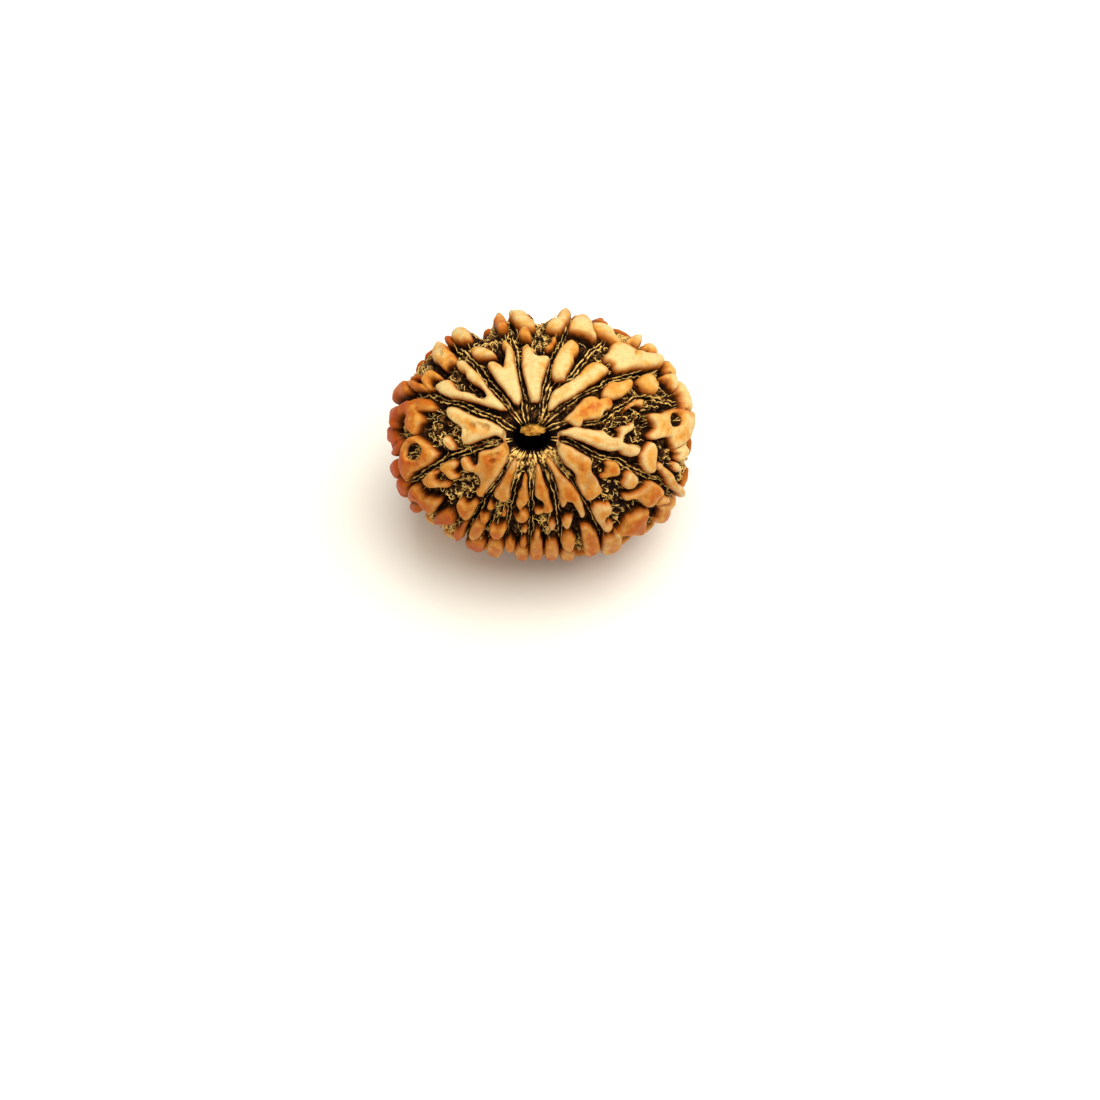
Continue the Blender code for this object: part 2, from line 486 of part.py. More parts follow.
def relief(points, polar, angle, rest_point):
    """Height of the surface over the ground at each point."""
    flat = unrolled(polar, angle)
    near_seam = np.full(len(points), 1.0)
    for course in seam_courses():
        near_seam = np.minimum(near_seam, course_distance(points, course, False))
    height = crust(points) - GROOVE_DEPTH * np.exp(-(near_seam / GROOVE_WIDTH) ** 2)
    height = height + RIDGE_HEIGHT * np.exp(-(near_seam / RIDGE_WIDTH) ** 2) - hollow(polar, angle)
    for lobe_polar, lobe_angle, lobe_height in face_lobes() + hidden_lobes():
        corners = ground(lobe_polar, lobe_angle)
        middle = corners.mean(axis=0)
        reach = np.sqrt(((corners - middle) ** 2).sum(axis=1)).max() + 3.0 * FOOT_SPREAD
        near = np.flatnonzero(((points - middle) ** 2).sum(axis=1) < reach ** 2)
        edge = course_distance(points[near], corners, True)
        within = inside_outline(flat[near], unrolled(lobe_polar, lobe_angle))
        depth = np.where(within, edge, -edge) + FOOT_SPREAD
        shoulder = np.clip(depth.max(), LEAST_SHOULDER, SHOULDER)
        rounding = np.clip(depth / shoulder, 0.0, 1.0)
        crown = lobe_height * (NARROW_SHARE + (1.0 - NARROW_SHARE) * shoulder / SHOULDER)
        top = crown * (1.0 - (1.0 - rounding) ** SHOULDER_POWER)
        top = top + SWELL * smooth((depth - SHOULDER) / SWELL_WIDTH)
        height[near] = np.where(depth > 0.0, np.maximum(height[near], top), height[near])
    for across, down, radius, sink in PITS:
        pit_polar, pit_angle = to_polar(read_points(f"{across},{down}"), LOBE_RIM)
        middle = ground(pit_polar, pit_angle)[0]
        away = np.hypot(points[:, 0] - middle[0], points[:, 1] - middle[1])
        sunk = smooth(PIT_STEEPNESS * (1.0 - away / (radius * UNIT)))
        height = np.where(points[:, 2] > 0.0, height - sink * sunk, height)
    away = (points - rest_point) / (REST_LOBE_LENGTH, REST_LOBE_WIDTH, REST_LOBE_WIDTH)
    beyond = np.sqrt((away * away).sum(axis=1)) + REST_LOBE_WAVE * np.sin(4.0 * angle + 1.0)
    worn = REST_LOBE_HEIGHT * smooth((1.0 - beyond) * REST_LOBE_WIDTH / REST_LOBE_SHOULDER)
    return np.where(beyond < 1.0, np.maximum(height, worn), height)


def lay_down(points):
    """From the bore's own directions to the way the seed lies."""
    lean, rise = np.cos(BORE_ELEVATION), np.sin(BORE_ELEVATION)
    backward = points[..., 1] * rise - points[..., 2] * lean
    upward = points[..., 1] * lean + points[..., 2] * rise
    return np.stack([points[..., 0], backward, upward], axis=-1)


def seed_surface():
    """Closed sheet of points: down the face, round the rim, up the far side and back along the bore."""
    turn = np.linspace(-pi, pi, TURNS, endpoint=False)
    lip = MOUTH_RADIUS * (1.0 + MOUTH_OVAL * np.cos(2.0 * turn))
    mouth = np.arcsin(lip / np.interp(turn, ROUND, GROUND_RIM))
    share = np.linspace(0.0, 1.0, OUTER_ROWS)[:, None]
    polar = mouth + (pi - 2.0 * mouth) * share
    angle = np.broadcast_to(turn, polar.shape)
    outer = ground(polar, angle)
    middle_of_rest = np.array([0.0, -np.cos(BORE_ELEVATION), -np.sin(BORE_ELEVATION)])
    towards = outer.reshape(-1, 3) - np.array([MIDDLE_ACROSS, MIDDLE_UP, 0.0])
    towards = towards / np.linalg.norm(towards, axis=1)[:, None]
    rest_point = outer.reshape(-1, 3)[np.argmax(towards @ middle_of_rest)]
    across = np.roll(outer, -1, axis=1) - np.roll(outer, 1, axis=1)
    along = np.gradient(outer, axis=0)
    normal = np.cross(along, across)
    normal = normal / np.linalg.norm(normal, axis=2)[:, :, None]
    normal = normal * np.sign((normal * (outer - [MIDDLE_ACROSS, MIDDLE_UP, 0.0])).sum(axis=2))[:, :, None]
    height = relief(outer.reshape(-1, 3), polar.reshape(-1), angle.reshape(-1), rest_point).reshape(polar.shape)
    for _ in range(SOFTENING):
        height = 0.5 * height + 0.25 * (np.roll(height, 1, axis=1) + np.roll(height, -1, axis=1))
        height[1:-1] = 0.5 * height[1:-1] + 0.25 * (height[:-2] + height[2:])
    fade = smooth(np.minimum(share, 1.0 - share) * OUTER_ROWS / 4.0)
    outer = outer + normal * (height * fade)[:, :, None]
    wall = BORE_RADIUS * (1.0 + BORE_OVAL * np.cos(2.0 * turn))
    ridged = np.zeros_like(turn)
    for seam in rim_turns():
        ridged = np.maximum(ridged, np.exp(-(wrapped(turn - seam) / LIP_RIDGE_ANGLE) ** 2))
    rows = []
    for end, lip_rows in ((-1, range(1, LIP_ROWS + 1)), (0, range(LIP_ROWS, 0, -1))):
        side = 1.0 if end == 0 else -1.0
        for row in lip_rows:
            swing = 0.5 * pi * row / LIP_ROWS
            radius = wall + (lip - wall) * (1.0 - np.sin(swing))
            radius = radius - LIP_RIDGE * ridged * np.sin(2.0 * swing)
            level = outer[end, :, 2] - side * MOUTH_DEPTH * (1.0 - np.cos(swing))
            rows.append((radius, level, 0.0))
        if end == -1:
            first, last = rows[-1][1], outer[0, :, 2] - MOUTH_DEPTH
            for share in np.arange(1, WALL_ROWS) / WALL_ROWS:
                narrowed = BORE_WAIST + (wall - BORE_WAIST) * (2.0 * share - 1.0) ** 2
                rows.append((narrowed, first + (last - first) * share, -BORE_BOW * np.sin(pi * share) ** 2))
    inner = []
    for radius, level, bow in rows:
        below = np.abs(outer[0, :, 2] - FIBRE_DEPTH - level) / FIBRE_THICKNESS
        spread = np.abs(wrapped(turn - FIBRE_TURN)) / FIBRE_HALF_ANGLE
        radius = radius - FIBRE_REACH * np.exp(-below ** 4) * np.exp(-spread ** 4)
        inner.append(np.stack([radius * np.cos(turn), radius * np.sin(turn) + bow, level], axis=-1))
    return np.concatenate([outer, np.array(inner)])


def build_seed():
    """The seed as one closed solid, resting on its flat."""
    sheet = lay_down(seed_surface())
    rows, turns = sheet.shape[:2]
    mesh_maker = bmesh.new()
    bmesh.ops.create_grid(mesh_maker, x_segments=turns, y_segments=rows, size=1.0)
    mesh_maker.verts.ensure_lookup_table()
    for vertex in mesh_maker.verts:
        column = round((vertex.co.x + 1.0) * 0.5 * turns) % turns
        row = round((vertex.co.y + 1.0) * 0.5 * rows) % rows
        vertex.co = sheet[row, column]
    bmesh.ops.remove_doubles(mesh_maker, verts=mesh_maker.verts, dist=1e-7)
    bmesh.ops.recalc_face_normals(mesh_maker, faces=mesh_maker.faces)
    mesh = bpy.data.meshes.new("seed")
    mesh_maker.to_mesh(mesh)
    mesh_maker.free()
    seed = bpy.data.objects.new("seed", mesh)
    bpy.context.scene.collection.objects.link(seed)
    return seed


def apply_modifiers(target):
    """Make the modifiers' result the object's own mesh."""
    graph = bpy.context.evaluated_depsgraph_get()
    graph.update()
    result = bpy.data.meshes.new_from_object(target.evaluated_get(graph))
    target.modifiers.clear()
    target.data = result


def main():
    for old in list(bpy.data.objects):
        bpy.data.objects.remove(old, do_unlink=True)
    seed = build_seed()
    thin = seed.modifiers.new("fewer_faces", "DECIMATE")
    thin.ratio = TRIANGLES / (2.0 * len(seed.data.polygons))
    apply_modifiers(seed)
    maker = bmesh.new()
    maker.from_mesh(seed.data)
    lowest = min(vertex.co.z for vertex in maker.verts)
    everything = maker.verts[:] + maker.edges[:] + maker.faces[:]
    cut = bmesh.ops.bisect_plane(maker, geom=everything, plane_co=(0, 0, lowest + FLAT_DROP),
                                 plane_no=(0, 0, -1), clear_outer=True)
    rim = [item for item in cut["geom_cut"] if isinstance(item, bmesh.types.BMEdge)]
    bmesh.ops.contextual_create(maker, geom=rim)
    bmesh.ops.triangulate(maker, faces=maker.faces[:])
    bmesh.ops.recalc_face_normals(maker, faces=maker.faces)
    across = [vertex.co.x for vertex in maker.verts]
    back = [vertex.co.y for vertex in maker.verts]
    shift = (-(min(across) + max(across)) / 2.0, -(min(back) + max(back)) / 2.0, -(lowest + FLAT_DROP))
    bmesh.ops.translate(maker, vec=shift, verts=maker.verts)
    maker.to_mesh(seed.data)
    maker.free()
    print("shift", [round(value * 1000, 3) for value in shift], "triangles", len(seed.data.polygons))
    finish = bpy.data.materials.new("seed_husk")
    finish.use_nodes = True
    shader = finish.node_tree.nodes["Principled BSDF"]
    shader.inputs["Base Color"].default_value = (0.40, 0.20, 0.075, 1.0)
    shader.inputs["Roughness"].default_value = 0.42
    seed.data.materials.clear()
    seed.data.materials.append(finish)


main()
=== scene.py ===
# %% [markdown]
# # A rudraksha seed
# The seed is an oblong dried fruit stone, about 27 mm long, with a bore that it grew with. Seams run out
# from the bore and divide it into faces. On each face stand smooth, golden brown lobes, and between them
# lies a dark crust full of pale curly fibres. This script dresses the plain solid of the seed: it makes the
# husk again with finer relief, adds the seam ridges, the fibres and the tissue left in the bore, and gives
# each its finish. Everything is in metres, in the same frame as the solid.

# %% Load the solid that the pieces replace
import random
from math import cos, pi, radians, sin

import bmesh
import bpy
import numpy as np
from mathutils import Matrix, Vector


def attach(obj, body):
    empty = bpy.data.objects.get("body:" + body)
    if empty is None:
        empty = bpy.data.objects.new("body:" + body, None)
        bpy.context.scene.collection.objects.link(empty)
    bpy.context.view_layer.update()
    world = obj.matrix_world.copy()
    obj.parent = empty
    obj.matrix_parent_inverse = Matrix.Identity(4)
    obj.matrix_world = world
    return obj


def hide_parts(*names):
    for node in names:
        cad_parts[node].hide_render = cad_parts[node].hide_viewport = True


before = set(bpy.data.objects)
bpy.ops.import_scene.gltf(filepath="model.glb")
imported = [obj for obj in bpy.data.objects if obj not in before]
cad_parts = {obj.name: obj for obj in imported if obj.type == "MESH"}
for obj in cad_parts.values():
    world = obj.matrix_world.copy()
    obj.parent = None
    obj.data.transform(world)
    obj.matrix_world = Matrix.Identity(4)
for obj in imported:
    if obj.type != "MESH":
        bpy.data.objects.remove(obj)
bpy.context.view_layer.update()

# %% [markdown]
# ## Sizes of the seed
# The shape is worked out from the bore outwards. One set of directions serves for the whole seed: across,
# up, and along the bore towards the viewer. At the end the points are leaned back, so that the seed lies as
# it does on its worn flat.

# %% Sizes
UNIT = 0.0885e-3
BORE_ACROSS, BORE_DOWN = 531.0, 436.0
HALF_LENGTH, HALF_WIDTH, HALF_DEPTH = 13.5e-3, 11.05e-3, 10.6e-3
LOBE_HEIGHT = 1.28e-3
MIDDLE_ACROSS, MIDDLE_UP = 0.84e-3, 0.27e-3
UPPER_FULLNESS, LOWER_LEFT_FULLNESS, LOWER_RIGHT_FULLNESS, BARREL = 2.05, 2.28, 2.45, 0.92
BORE_RADIUS, BORE_OVAL = 1.38e-3, 0.17
MOUTH_RADIUS, MOUTH_OVAL, MOUTH_DEPTH = 1.95e-3, 0.10, 1.9e-3
DIMPLE_DEPTH, DIMPLE_RADIUS = 0.9e-3, 2.4e-3
BORE_WAIST, BORE_BOW = 0.85e-3, 2.0e-3
BORE_ELEVATION = radians(54)
NEARNESS = 0.05
SHIFT = Vector((-0.773e-3, -0.133e-3, 10.469e-3))
print("seed", 2000 * HALF_LENGTH, "by", 2000 * HALF_WIDTH, "mm across the bore")

# %% [markdown]
# ## The plan of the face
# The face with the bore is measured: each lobe is an outline, each seam is a course from the bore
# to the rim, and each pit is a place with a radius. The plan's unit is 0.0885 mm. Names follow what a lobe
# looks like, so that one can be found again and corrected.

# %% Outlines, pits and seams
# Outlines of the lobes on the face: across and down of each corner, in plan units.
FACE_LOBES = {
    "fork": "505,340 510,345 513,352 514,362 517,374 519,386 520,396 517,401 512,400 507,393 502,387 "
            "496,380 490,372 486,366 487,362 493,361 499,364 502,367 504,358 505,350 501,347 501,342",
    "wedge_up": "522,347 527,346 533,348 537,352 541,355 548,355 550,358 548,363 546,368 544,374 542,382 "
                "541,390 540,397 537,399 531,398 528,392 526,382 523,374 521,364 521,354",
    "teardrop": "572,340 577,343 580,347 579,352 575,356 574,362 571,368 567,374 565,379 556,379 552,375 "
                "552,366 554,360 557,354 560,349 563,345 568,341",
    "diagonal": "555,388 567,382 575,378 581,372 586,366 593,362 601,363 607,367 612,370 606,374 600,379 "
                "591,384 583,389 576,394 568,398 560,402 554,406 549,408 549,401 552,394",
    "saddle": "565,418 571,412 576,407 581,401 585,397 590,395 596,395 600,398 604,397 609,396 612,399 "
              "613,404 611,408 606,409 603,412 602,416 597,418 590,418 584,419 583,424 579,427 575,424 "
              "570,420",
    "boot": "605,387 608,383 612,381 618,382 624,380 630,379 633,382 632,387 629,391 624,395 617,398 "
            "612,399 608,398 603,396 603,391",
    "branch": "554,439 556,433 560,430 571,427 577,425 583,427 594,429 604,429 608,433 614,437 619,436 "
              "620,431 619,427 622,425 628,424 631,421 634,423 633,428 628,431 624,435 623,441 628,443 "
              "634,443 639,446 640,450 637,454 631,456 624,454 619,449 609,450 600,448 592,444 583,440 "
              "575,437 568,434 562,434 559,438 557,441",
    "club": "555,438 557,444 560,451 563,458 567,464 573,469 577,473 578,480 580,486 584,493 589,499 "
            "594,498 599,494 604,490 601,484 598,477 593,472 592,467 593,461 591,457 586,454 580,451 "
            "574,447 567,444 562,441 560,437",
    "trousers": "547,456 551,458 555,463 559,469 564,475 570,481 576,487 580,493 583,500 585,506 587,512 "
                "586,516 583,516 580,511 577,505 574,501 569,500 567,503 564,507 562,503 560,497 560,490 "
                "558,483 556,476 552,469 548,462",
    "spear": "537,464 540,467 542,474 545,482 548,490 550,498 552,505 553,510 548,511 541,512 535,513 "
             "534,509 537,508 543,508 545,504 543,500 538,498 535,495 535,489 535,482 536,474",
    "vase": "524,474 526,479 526,486 527,493 528,499 525,503 521,506 521,509 524,509 527,512 528,516 "
            "525,520 521,521 517,520 514,518 511,516 515,516 518,514 519,510 516,506 515,502 517,497 "
            "517,492 521,487 521,481 523,476",
    "paddle": "513,458 514,463 514,469 512,474 510,480 508,486 508,492 508,497 505,500 500,501 496,498 "
              "492,496 492,491 495,487 499,482 502,477 504,472 507,467 510,462",
    "anchor": "507,450 505,455 503,462 500,468 497,474 493,479 489,484 484,489 481,494 478,496 475,493 "
              "473,489 477,486 478,482 478,478 476,474 472,471 467,470 463,469 460,464 459,459 462,456 "
              "466,457 469,461 471,465 474,465 476,462 476,457 476,452 480,450 487,449 493,447 499,442 "
              "503,440 506,444",
    "tongue": "506,438 505,433 501,428 496,424 490,421 484,418 477,417 470,414 464,411 458,408 451,406 "
              "446,406 445,411 447,416 451,420 457,423 460,427 460,433 460,438 463,443 468,443 474,441 "
              "480,438 486,436 492,434 496,435 499,438 501,442",
    "hairpin": "455,361 462,360 468,365 474,370 479,376 484,383 489,390 495,397 501,402 504,407 499,408 "
               "490,406 480,403 470,400 460,398 450,397 442,394 436,390 433,386 437,383 442,380 448,379 "
               "451,382 455,388 460,391 466,391 471,393 476,397 482,398 485,395 482,389 478,385 471,382 "
               "466,378 464,372 459,370 455,367",
    "double_knob": "431,352 434,348 437,344 441,343 445,346 447,350 451,353 455,358 456,362 449,363 "
                   "446,365 443,369 440,366 437,363 432,361 431,356",
    "eyelid": "421,381 424,376 427,372 432,371 436,373 440,377 441,380 437,378 433,378 429,379 429,384 "
              "431,388 428,390 424,386",
    "step": "408,381 413,380 418,383 423,384 427,388 426,390 420,390 414,390 410,388 408,386",
    "shoulder_left": "400,381 404,380 408,382 409,388 408,392 404,395 400,396 396,400 393,403 389,400 "
                     "389,395 392,390 396,386",
    "thin_arc": "409,380 412,377 418,375 425,376 422,379 416,379 412,381",
    "plate_left": "401,404 406,401 411,400 416,398 422,398 428,399 432,402 435,406 434,409 429,410 422,410 "
                  "418,411 421,415 422,420 419,423 417,428 415,433 412,434 409,430 406,427 405,422 406,416 "
                  "405,412 402,413 399,416 396,421 396,426 394,428 391,424 390,418 391,412 393,408",
    "rim_left_1": "390,424 393,428 396,433 399,437 398,441 395,445 390,441 387,436 386,430",
    "rim_left_2": "399,440 402,438 403,443 400,449 397,453 394,455 393,450 395,445",
    "ring": "404,442 409,436 415,434 419,437 424,441 429,445 433,449 436,453 434,457 430,461 424,465 "
            "417,468 411,471 408,475 406,479 403,475 401,469 399,463 400,458 401,454 401,450 402,446",
    "kidney": "441,438 444,435 448,436 451,440 454,445 453,449 449,449 445,446 442,442",
    "crescent": "436,470 430,469 425,473 422,477 424,482 430,486 438,485 447,486 448,482 444,480 437,481 "
                "433,478 433,474 437,471",
    "wedge_left": "438,466 442,462 447,460 452,459 456,462 454,466 451,469 453,472 457,474 456,477 450,478 "
                  "447,476 444,472 440,469",
    "heart": "454,504 455,500 458,498 461,500 463,503 466,503 469,500 473,499 476,502 474,506 471,511 "
             "468,516 464,519 461,517 457,512 455,508",
    "drop_left": "461,520 465,521 463,525 462,530 460,535 456,539 452,537 451,531 452,527 457,527",
    "arrow_left": "409,486 412,483 416,485 418,490 421,495 427,495 433,497 438,498 438,502 434,506 431,511 "
                  "426,509 421,505 417,500 412,498 408,498 407,494 408,490",
    "rim_left_3": "394,458 398,457 399,464 400,471 399,476 396,478 392,474 391,467 392,461",
    "rim_left_4": "400,474 403,478 406,482 406,489 404,495 399,499 394,496 392,490 393,484 396,479",
    "rim_left_5": "408,501 413,501 418,503 420,508 416,511 411,512 408,507",
    "rim_left_6": "431,517 434,513 438,511 444,508 449,510 452,515 452,521 446,522 439,521 432,521",
    "oval": "474,519 479,519 483,522 482,528 479,533 474,537 469,537 466,533 467,528 470,523",
    "low_1": "463,539 470,537 478,538 483,541 482,547 475,549 467,549 462,545",
    "low_2": "484,508 485,504 488,500 490,503 492,507 489,509",
    "low_3": "477,512 480,514 486,513 487,518 484,521 479,519",
    "low_4": "500,514 502,509 504,510 504,514 502,517",
    "cup": "487,526 490,524 494,526 499,525 503,523 505,527 502,533 497,537 491,536 487,531",
    "low_5": "486,540 491,538 497,539 501,543 502,549 498,553 491,553 485,551 484,545",
    "low_6": "503,541 508,538 513,542 513,547 508,549 504,546",
    "low_7": "521,529 523,526 526,527 526,531 523,532",
    "low_8": "518,543 520,539 524,538 526,543 522,546",
    "low_9": "514,556 513,550 516,546 522,545 527,548 528,555 527,562 520,563 515,562",
    "pin": "534,532 537,529 540,532 539,536 542,541 543,549 543,557 539,561 532,561 529,556 529,549 "
           "530,541 534,537",
    "low_10": "546,542 551,540 557,541 560,547 560,556 556,560 549,560 545,556 545,549",
    "low_11": "549,524 551,521 555,521 556,525 554,528 551,528",
    "low_12": "563,520 567,516 574,516 573,522 569,528 565,525",
    "low_13": "565,534 569,532 574,533 577,537 577,542 575,547 571,548 566,547 563,543 563,538",
    "low_14": "562,552 566,548 572,548 577,551 578,558 576,564 567,565 562,562",
    "shin": "582,525 588,524 593,526 598,531 601,538 603,546 602,553 596,557 589,555 586,548 585,539 584,532",
    "hook": "594,507 597,503 602,502 607,503 611,502 614,506 613,511 609,514 607,518 609,522 612,520 "
            "616,522 613,526 609,529 605,528 602,523 598,517 595,512",
    "foot_right": "606,538 611,536 616,534 618,530 623,529 624,536 625,543 625,550 621,557 613,559 607,556 "
                  "605,549 605,543",
    "low_plate": "629,516 636,512 643,508 650,507 650,512 648,518 648,524 645,529 638,531 630,531 622,532 "
                 "619,531 624,525 626,520",
    "rim_right_1": "660,504 664,502 670,503 672,508 673,514 671,518 667,521 660,520 655,519 660,515 662,509",
    "rim_right_2": "660,497 664,494 669,495 669,499 666,501 661,502 656,503",
    "butterfly": "646,485 648,481 652,480 657,482 661,485 664,489 662,493 658,496 655,500 652,504 648,505 "
                 "645,503 642,500 638,497 633,497 628,499 625,497 625,493 630,492 636,491 641,489",
    "square": "605,461 609,459 615,460 619,463 621,468 621,473 618,475 612,475 606,477 601,477 602,474 "
              "606,471 607,466",
    "bead_low": "628,470 632,470 636,473 639,477 638,482 634,486 629,488 625,486 623,482 625,479 626,474",
    "leaf": "647,444 650,440 654,442 656,447 656,454 655,461 656,467 654,471 650,472 646,470 643,466 "
            "641,460 641,454 643,450",
    "ramp_right": "656,464 660,461 663,465 667,468 671,472 674,477 676,482 680,483 684,487 685,492 682,496 "
                  "679,494 677,490 673,488 669,484 666,479 664,474 661,469 657,467",
    "rim_right_3": "673,449 677,446 682,442 685,448 684,453 681,458 678,461 676,457 677,452",
    "rim_right_4": "673,460 677,461 680,467 677,471 673,468",
    "bird": "648,414 654,412 661,413 666,410 673,408 680,408 686,410 692,410 694,416 692,424 690,431 "
            "686,438 682,443 677,446 673,448 671,442 669,436 662,436 656,438 650,438 648,434 652,430 "
            "655,427 654,422 651,418",
    "rim_right_5": "675,382 681,384 684,390 687,397 691,402 694,409 688,411 682,409 681,402 679,396 676,391",
    "rim_right_6": "661,377 665,375 670,374 673,377 675,382 676,388 674,391 671,387 668,382 664,380",
    "thin_hook": "622,413 626,407 631,402 637,399 645,399 643,402 645,407 641,405 636,404 630,406 626,410",
    "bead_high": "637,380 641,376 646,374 651,375 654,379 657,385 658,390 655,393 650,393 645,391 641,387 "
                 "638,384",
    "star": "605,356 609,352 611,348 613,344 618,343 624,345 629,346 632,349 636,351 640,352 645,354 "
            "650,355 656,355 660,356 663,360 664,365 660,367 654,367 648,368 640,368 632,369 625,371 "
            "619,371 615,368 614,364 610,361 606,360",
    "top_1": "625,343 629,340 634,337 639,337 643,340 642,344 639,347 634,345 629,345",
    "top_2": "642,348 645,345 650,345 653,348 656,352 658,356 652,356 649,352 645,351",
    "top_3": "664,360 669,366 673,372 674,378 669,377 665,370",
    "top_4": "592,322 598,325 605,327 611,330 614,334 616,338 620,341 624,343 620,346 614,342 608,338 "
             "602,334 597,332 594,328",
    "top_5": "573,320 577,317 583,316 589,318 592,322 594,327 596,333 598,339 594,338 588,334 582,332 "
             "576,330 570,329 570,325",
    "top_6": "546,327 549,322 553,320 557,319 558,314 561,310 565,308 570,309 572,313 571,318 568,322 "
             "565,326 561,330 556,331 552,330 547,329",
    "top_7": "507,311 513,311 519,312 525,313 529,318 532,323 536,327 530,328 522,327 515,324 512,320 "
             "508,317",
    "top_8": "518,331 521,328 526,327 529,330 531,335 531,339 526,338 521,337 518,334",
    "top_9": "544,347 549,344 552,340 552,336 556,336 557,340 553,346 548,349",
    "top_10": "492,322 494,317 497,314 501,314 504,318 506,323 506,328 502,330 497,330 495,326",
    "top_11": "449,336 452,332 456,329 461,328 466,330 469,334 470,338 465,340 458,341 451,340",
    "top_12": "442,340 446,337 450,337 450,342 445,343",
    "top_13": "469,350 473,348 479,347 485,348 491,351 495,355 489,357 482,357 476,357 471,355",
}

# Pits in the lobes and in the ground: across, down, radius, all in plan units, and depth in metres.
PITS = [
    (538, 352, 5.0, 0.9e-3), (536, 363, 2.2, 0.2e-3), (637, 357, 4.4, 0.5e-3), (673, 419, 7.5, 1.2e-3),
    (414, 450, 9.3, 1.4e-3), (540, 503, 5.0, 0.8e-3), (490, 460, 2.8, 0.45e-3), (581, 468, 2.2, 0.2e-3),
    (501, 352, 3.0, 0.6e-3), (569, 321, 2.5, 0.5e-3), (472, 455, 2.6, 0.5e-3), (471, 425, 3.6, 0.42e-3),
    (477, 423, 3.2, 0.20e-3), (484, 426, 3.8, 0.52e-3), (491, 425, 3.2, 0.28e-3), (488, 455, 2.8, 0.28e-3),
    (494, 454, 2.6, 0.24e-3), (465, 428, 2.8, 0.20e-3), (537, 372, 3.0, 0.15e-3),
    (584, 405, 6.0, 0.20e-3), (448, 356, 3.0, 0.30e-3), (441, 357, 3.0, 0.30e-3), (416, 404, 4.0, 0.25e-3),
]

# Hollows where the ground sinks between the lobes: across, down, half width, half length away from the
# bore, all in plan units, and depth in metres.
HOLLOWS = [
    (479, 324, 14.0, 60.0, 1.2e-3), (540, 314, 12.0, 45.0, 0.8e-3), (427, 424, 13.0, 13.0, 0.5e-3),
    (640, 425, 14.0, 14.0, 0.6e-3), (560, 335, 8.0, 12.0, 0.5e-3), (634, 506, 9.0, 9.0, 0.7e-3),
    (502, 512, 12.0, 12.0, 0.4e-3), (461, 486, 12.0, 10.0, 0.5e-3), (401, 420, 10.0, 6.0, 0.9e-3),
    (434, 383, 5.0, 5.0, 0.7e-3), (614, 429, 6.0, 6.0, 0.5e-3),
]

# Courses of the seams from the bore to the rim, in plan units.
SEAMS = [
    "526,418 523,400 519,385 516,365 514,350 508,332 506,312",
    "540,418 541,400 546,385 549,370 551,358 557,350 561,343 566,328 571,312",
    "546,412 549,394 555,384 568,377 575,370 582,362 590,351 602,343 618,330",
    "552,414 560,407 568,402 576,396 584,392 594,388 602,384 608,379 618,377 634,373 646,371 660,371 676,370",
    "553,425 566,421 585,422 600,420 612,411 620,406 634,398 648,397 662,401 678,404 692,402",
    "565,438 576,443 586,449 597,454 607,457 618,459 626,465 636,470 648,475 660,478 670,489 684,500",
    "552,450 557,458 562,466 567,473 573,479 577,486 583,496 589,504 593,513 598,523 603,536 606,552",
    "543,453 546,465 549,475 553,485 556,497 558,508 559,520 560,535 560,556",
    "532,455 531,468 531,480 531,490 530,502 530,515 530,528 529,540 528,558",
    "520,456 518,467 515,478 512,488 510,498 508,510 506,522 503,535 501,554",
    "511,453 506,463 501,475 495,483 487,491 482,499 479,507 476,515 468,520 464,530 462,545",
    "498,440 487,443 477,446 468,450 458,453 448,457 438,462 428,468 418,474 409,482 402,500",
    "507,425 497,418 487,414 477,410 467,405 457,401 445,401 437,397 430,393 420,394 408,397 388,404",
    "513,412 507,402 500,394 492,386 486,378 480,370 472,360 464,353 456,347 448,343 434,340",
]

# Lobes by the tone of their skin, from the creamy upper ones to the red-brown ones at the left rim. The tones
# are partly the lobes' own colour and partly painted light: the upper lobes are paler as a painted highlight,
# since they face the light, and the red brown at the left rim is partly a painted red reflection. The lobes
# that aren't named here take the last tone, an orange brown.
CREAMY = "fork wedge_up teardrop hairpin star top_1 top_4 top_5 top_7 top_11 rim_right_5 rim_right_6"
HONEY = ("diagonal branch double_knob tongue leaf top_2 top_3 top_6 top_13 bead_high "
         "rim_right_3 rim_right_4")
TAWNY = ("boot club step thin_hook ramp_right hook shoulder_left kidney bead_low bird eyelid foot_right "
         "top_8 top_9 top_10")
AMBER = ("saddle trousers spear paddle anchor plate_left ring wedge_left butterfly low_2 low_11 low_12 "
         "low_13 low_14 rim_right_1 rim_right_2 thin_arc")
RUSSET = "rim_left_1 rim_left_2 rim_left_3 rim_left_4 rim_left_5 rim_left_6 drop_left low_1"
TONE_CLASSES = ((CREAMY, 0.92), (HONEY, 0.80), (TAWNY, 0.66), (AMBER, 0.50), (RUSSET, 0.10))
TONES = {name: tone for names, tone in TONE_CLASSES for name in names.split()}
OTHER_TONE = 0.38
print(len(FACE_LOBES), "lobes,", len(PITS), "pits and", len(SEAMS), "seams on the face")

# %% [markdown]
# ## From the plan to the surface
# A point of the surface is named by two angles, as on a globe whose pole is the mouth of the bore: how far
# it is from the pole, and its turn round the bore. The plan shows the globe from above the pole, so a plan
# point's distance from the bore gives the first angle by an arc sine. Past the rim that no longer works, so
# the last few hundredths are carried on round the edge by a straight line. NEARNESS makes up for the middle
# of the face being nearer to the eye, and so larger in the plan, than the rim.

# %% The globe
HALVINGS = 40
LOBE_RIM_SHARE, LOW_RIM_SHARE = 0.15, 0.70
TURNING = 0.95


def smooth(value):
    """Soft step from 0 to 1."""
    value = np.clip(value, 0.0, 1.0)
    return value * value * (3.0 - 2.0 * value)


def wrapped(angle):
    """The same turn between minus and plus half a circle."""
    return np.mod(angle + pi, 2 * pi) - pi


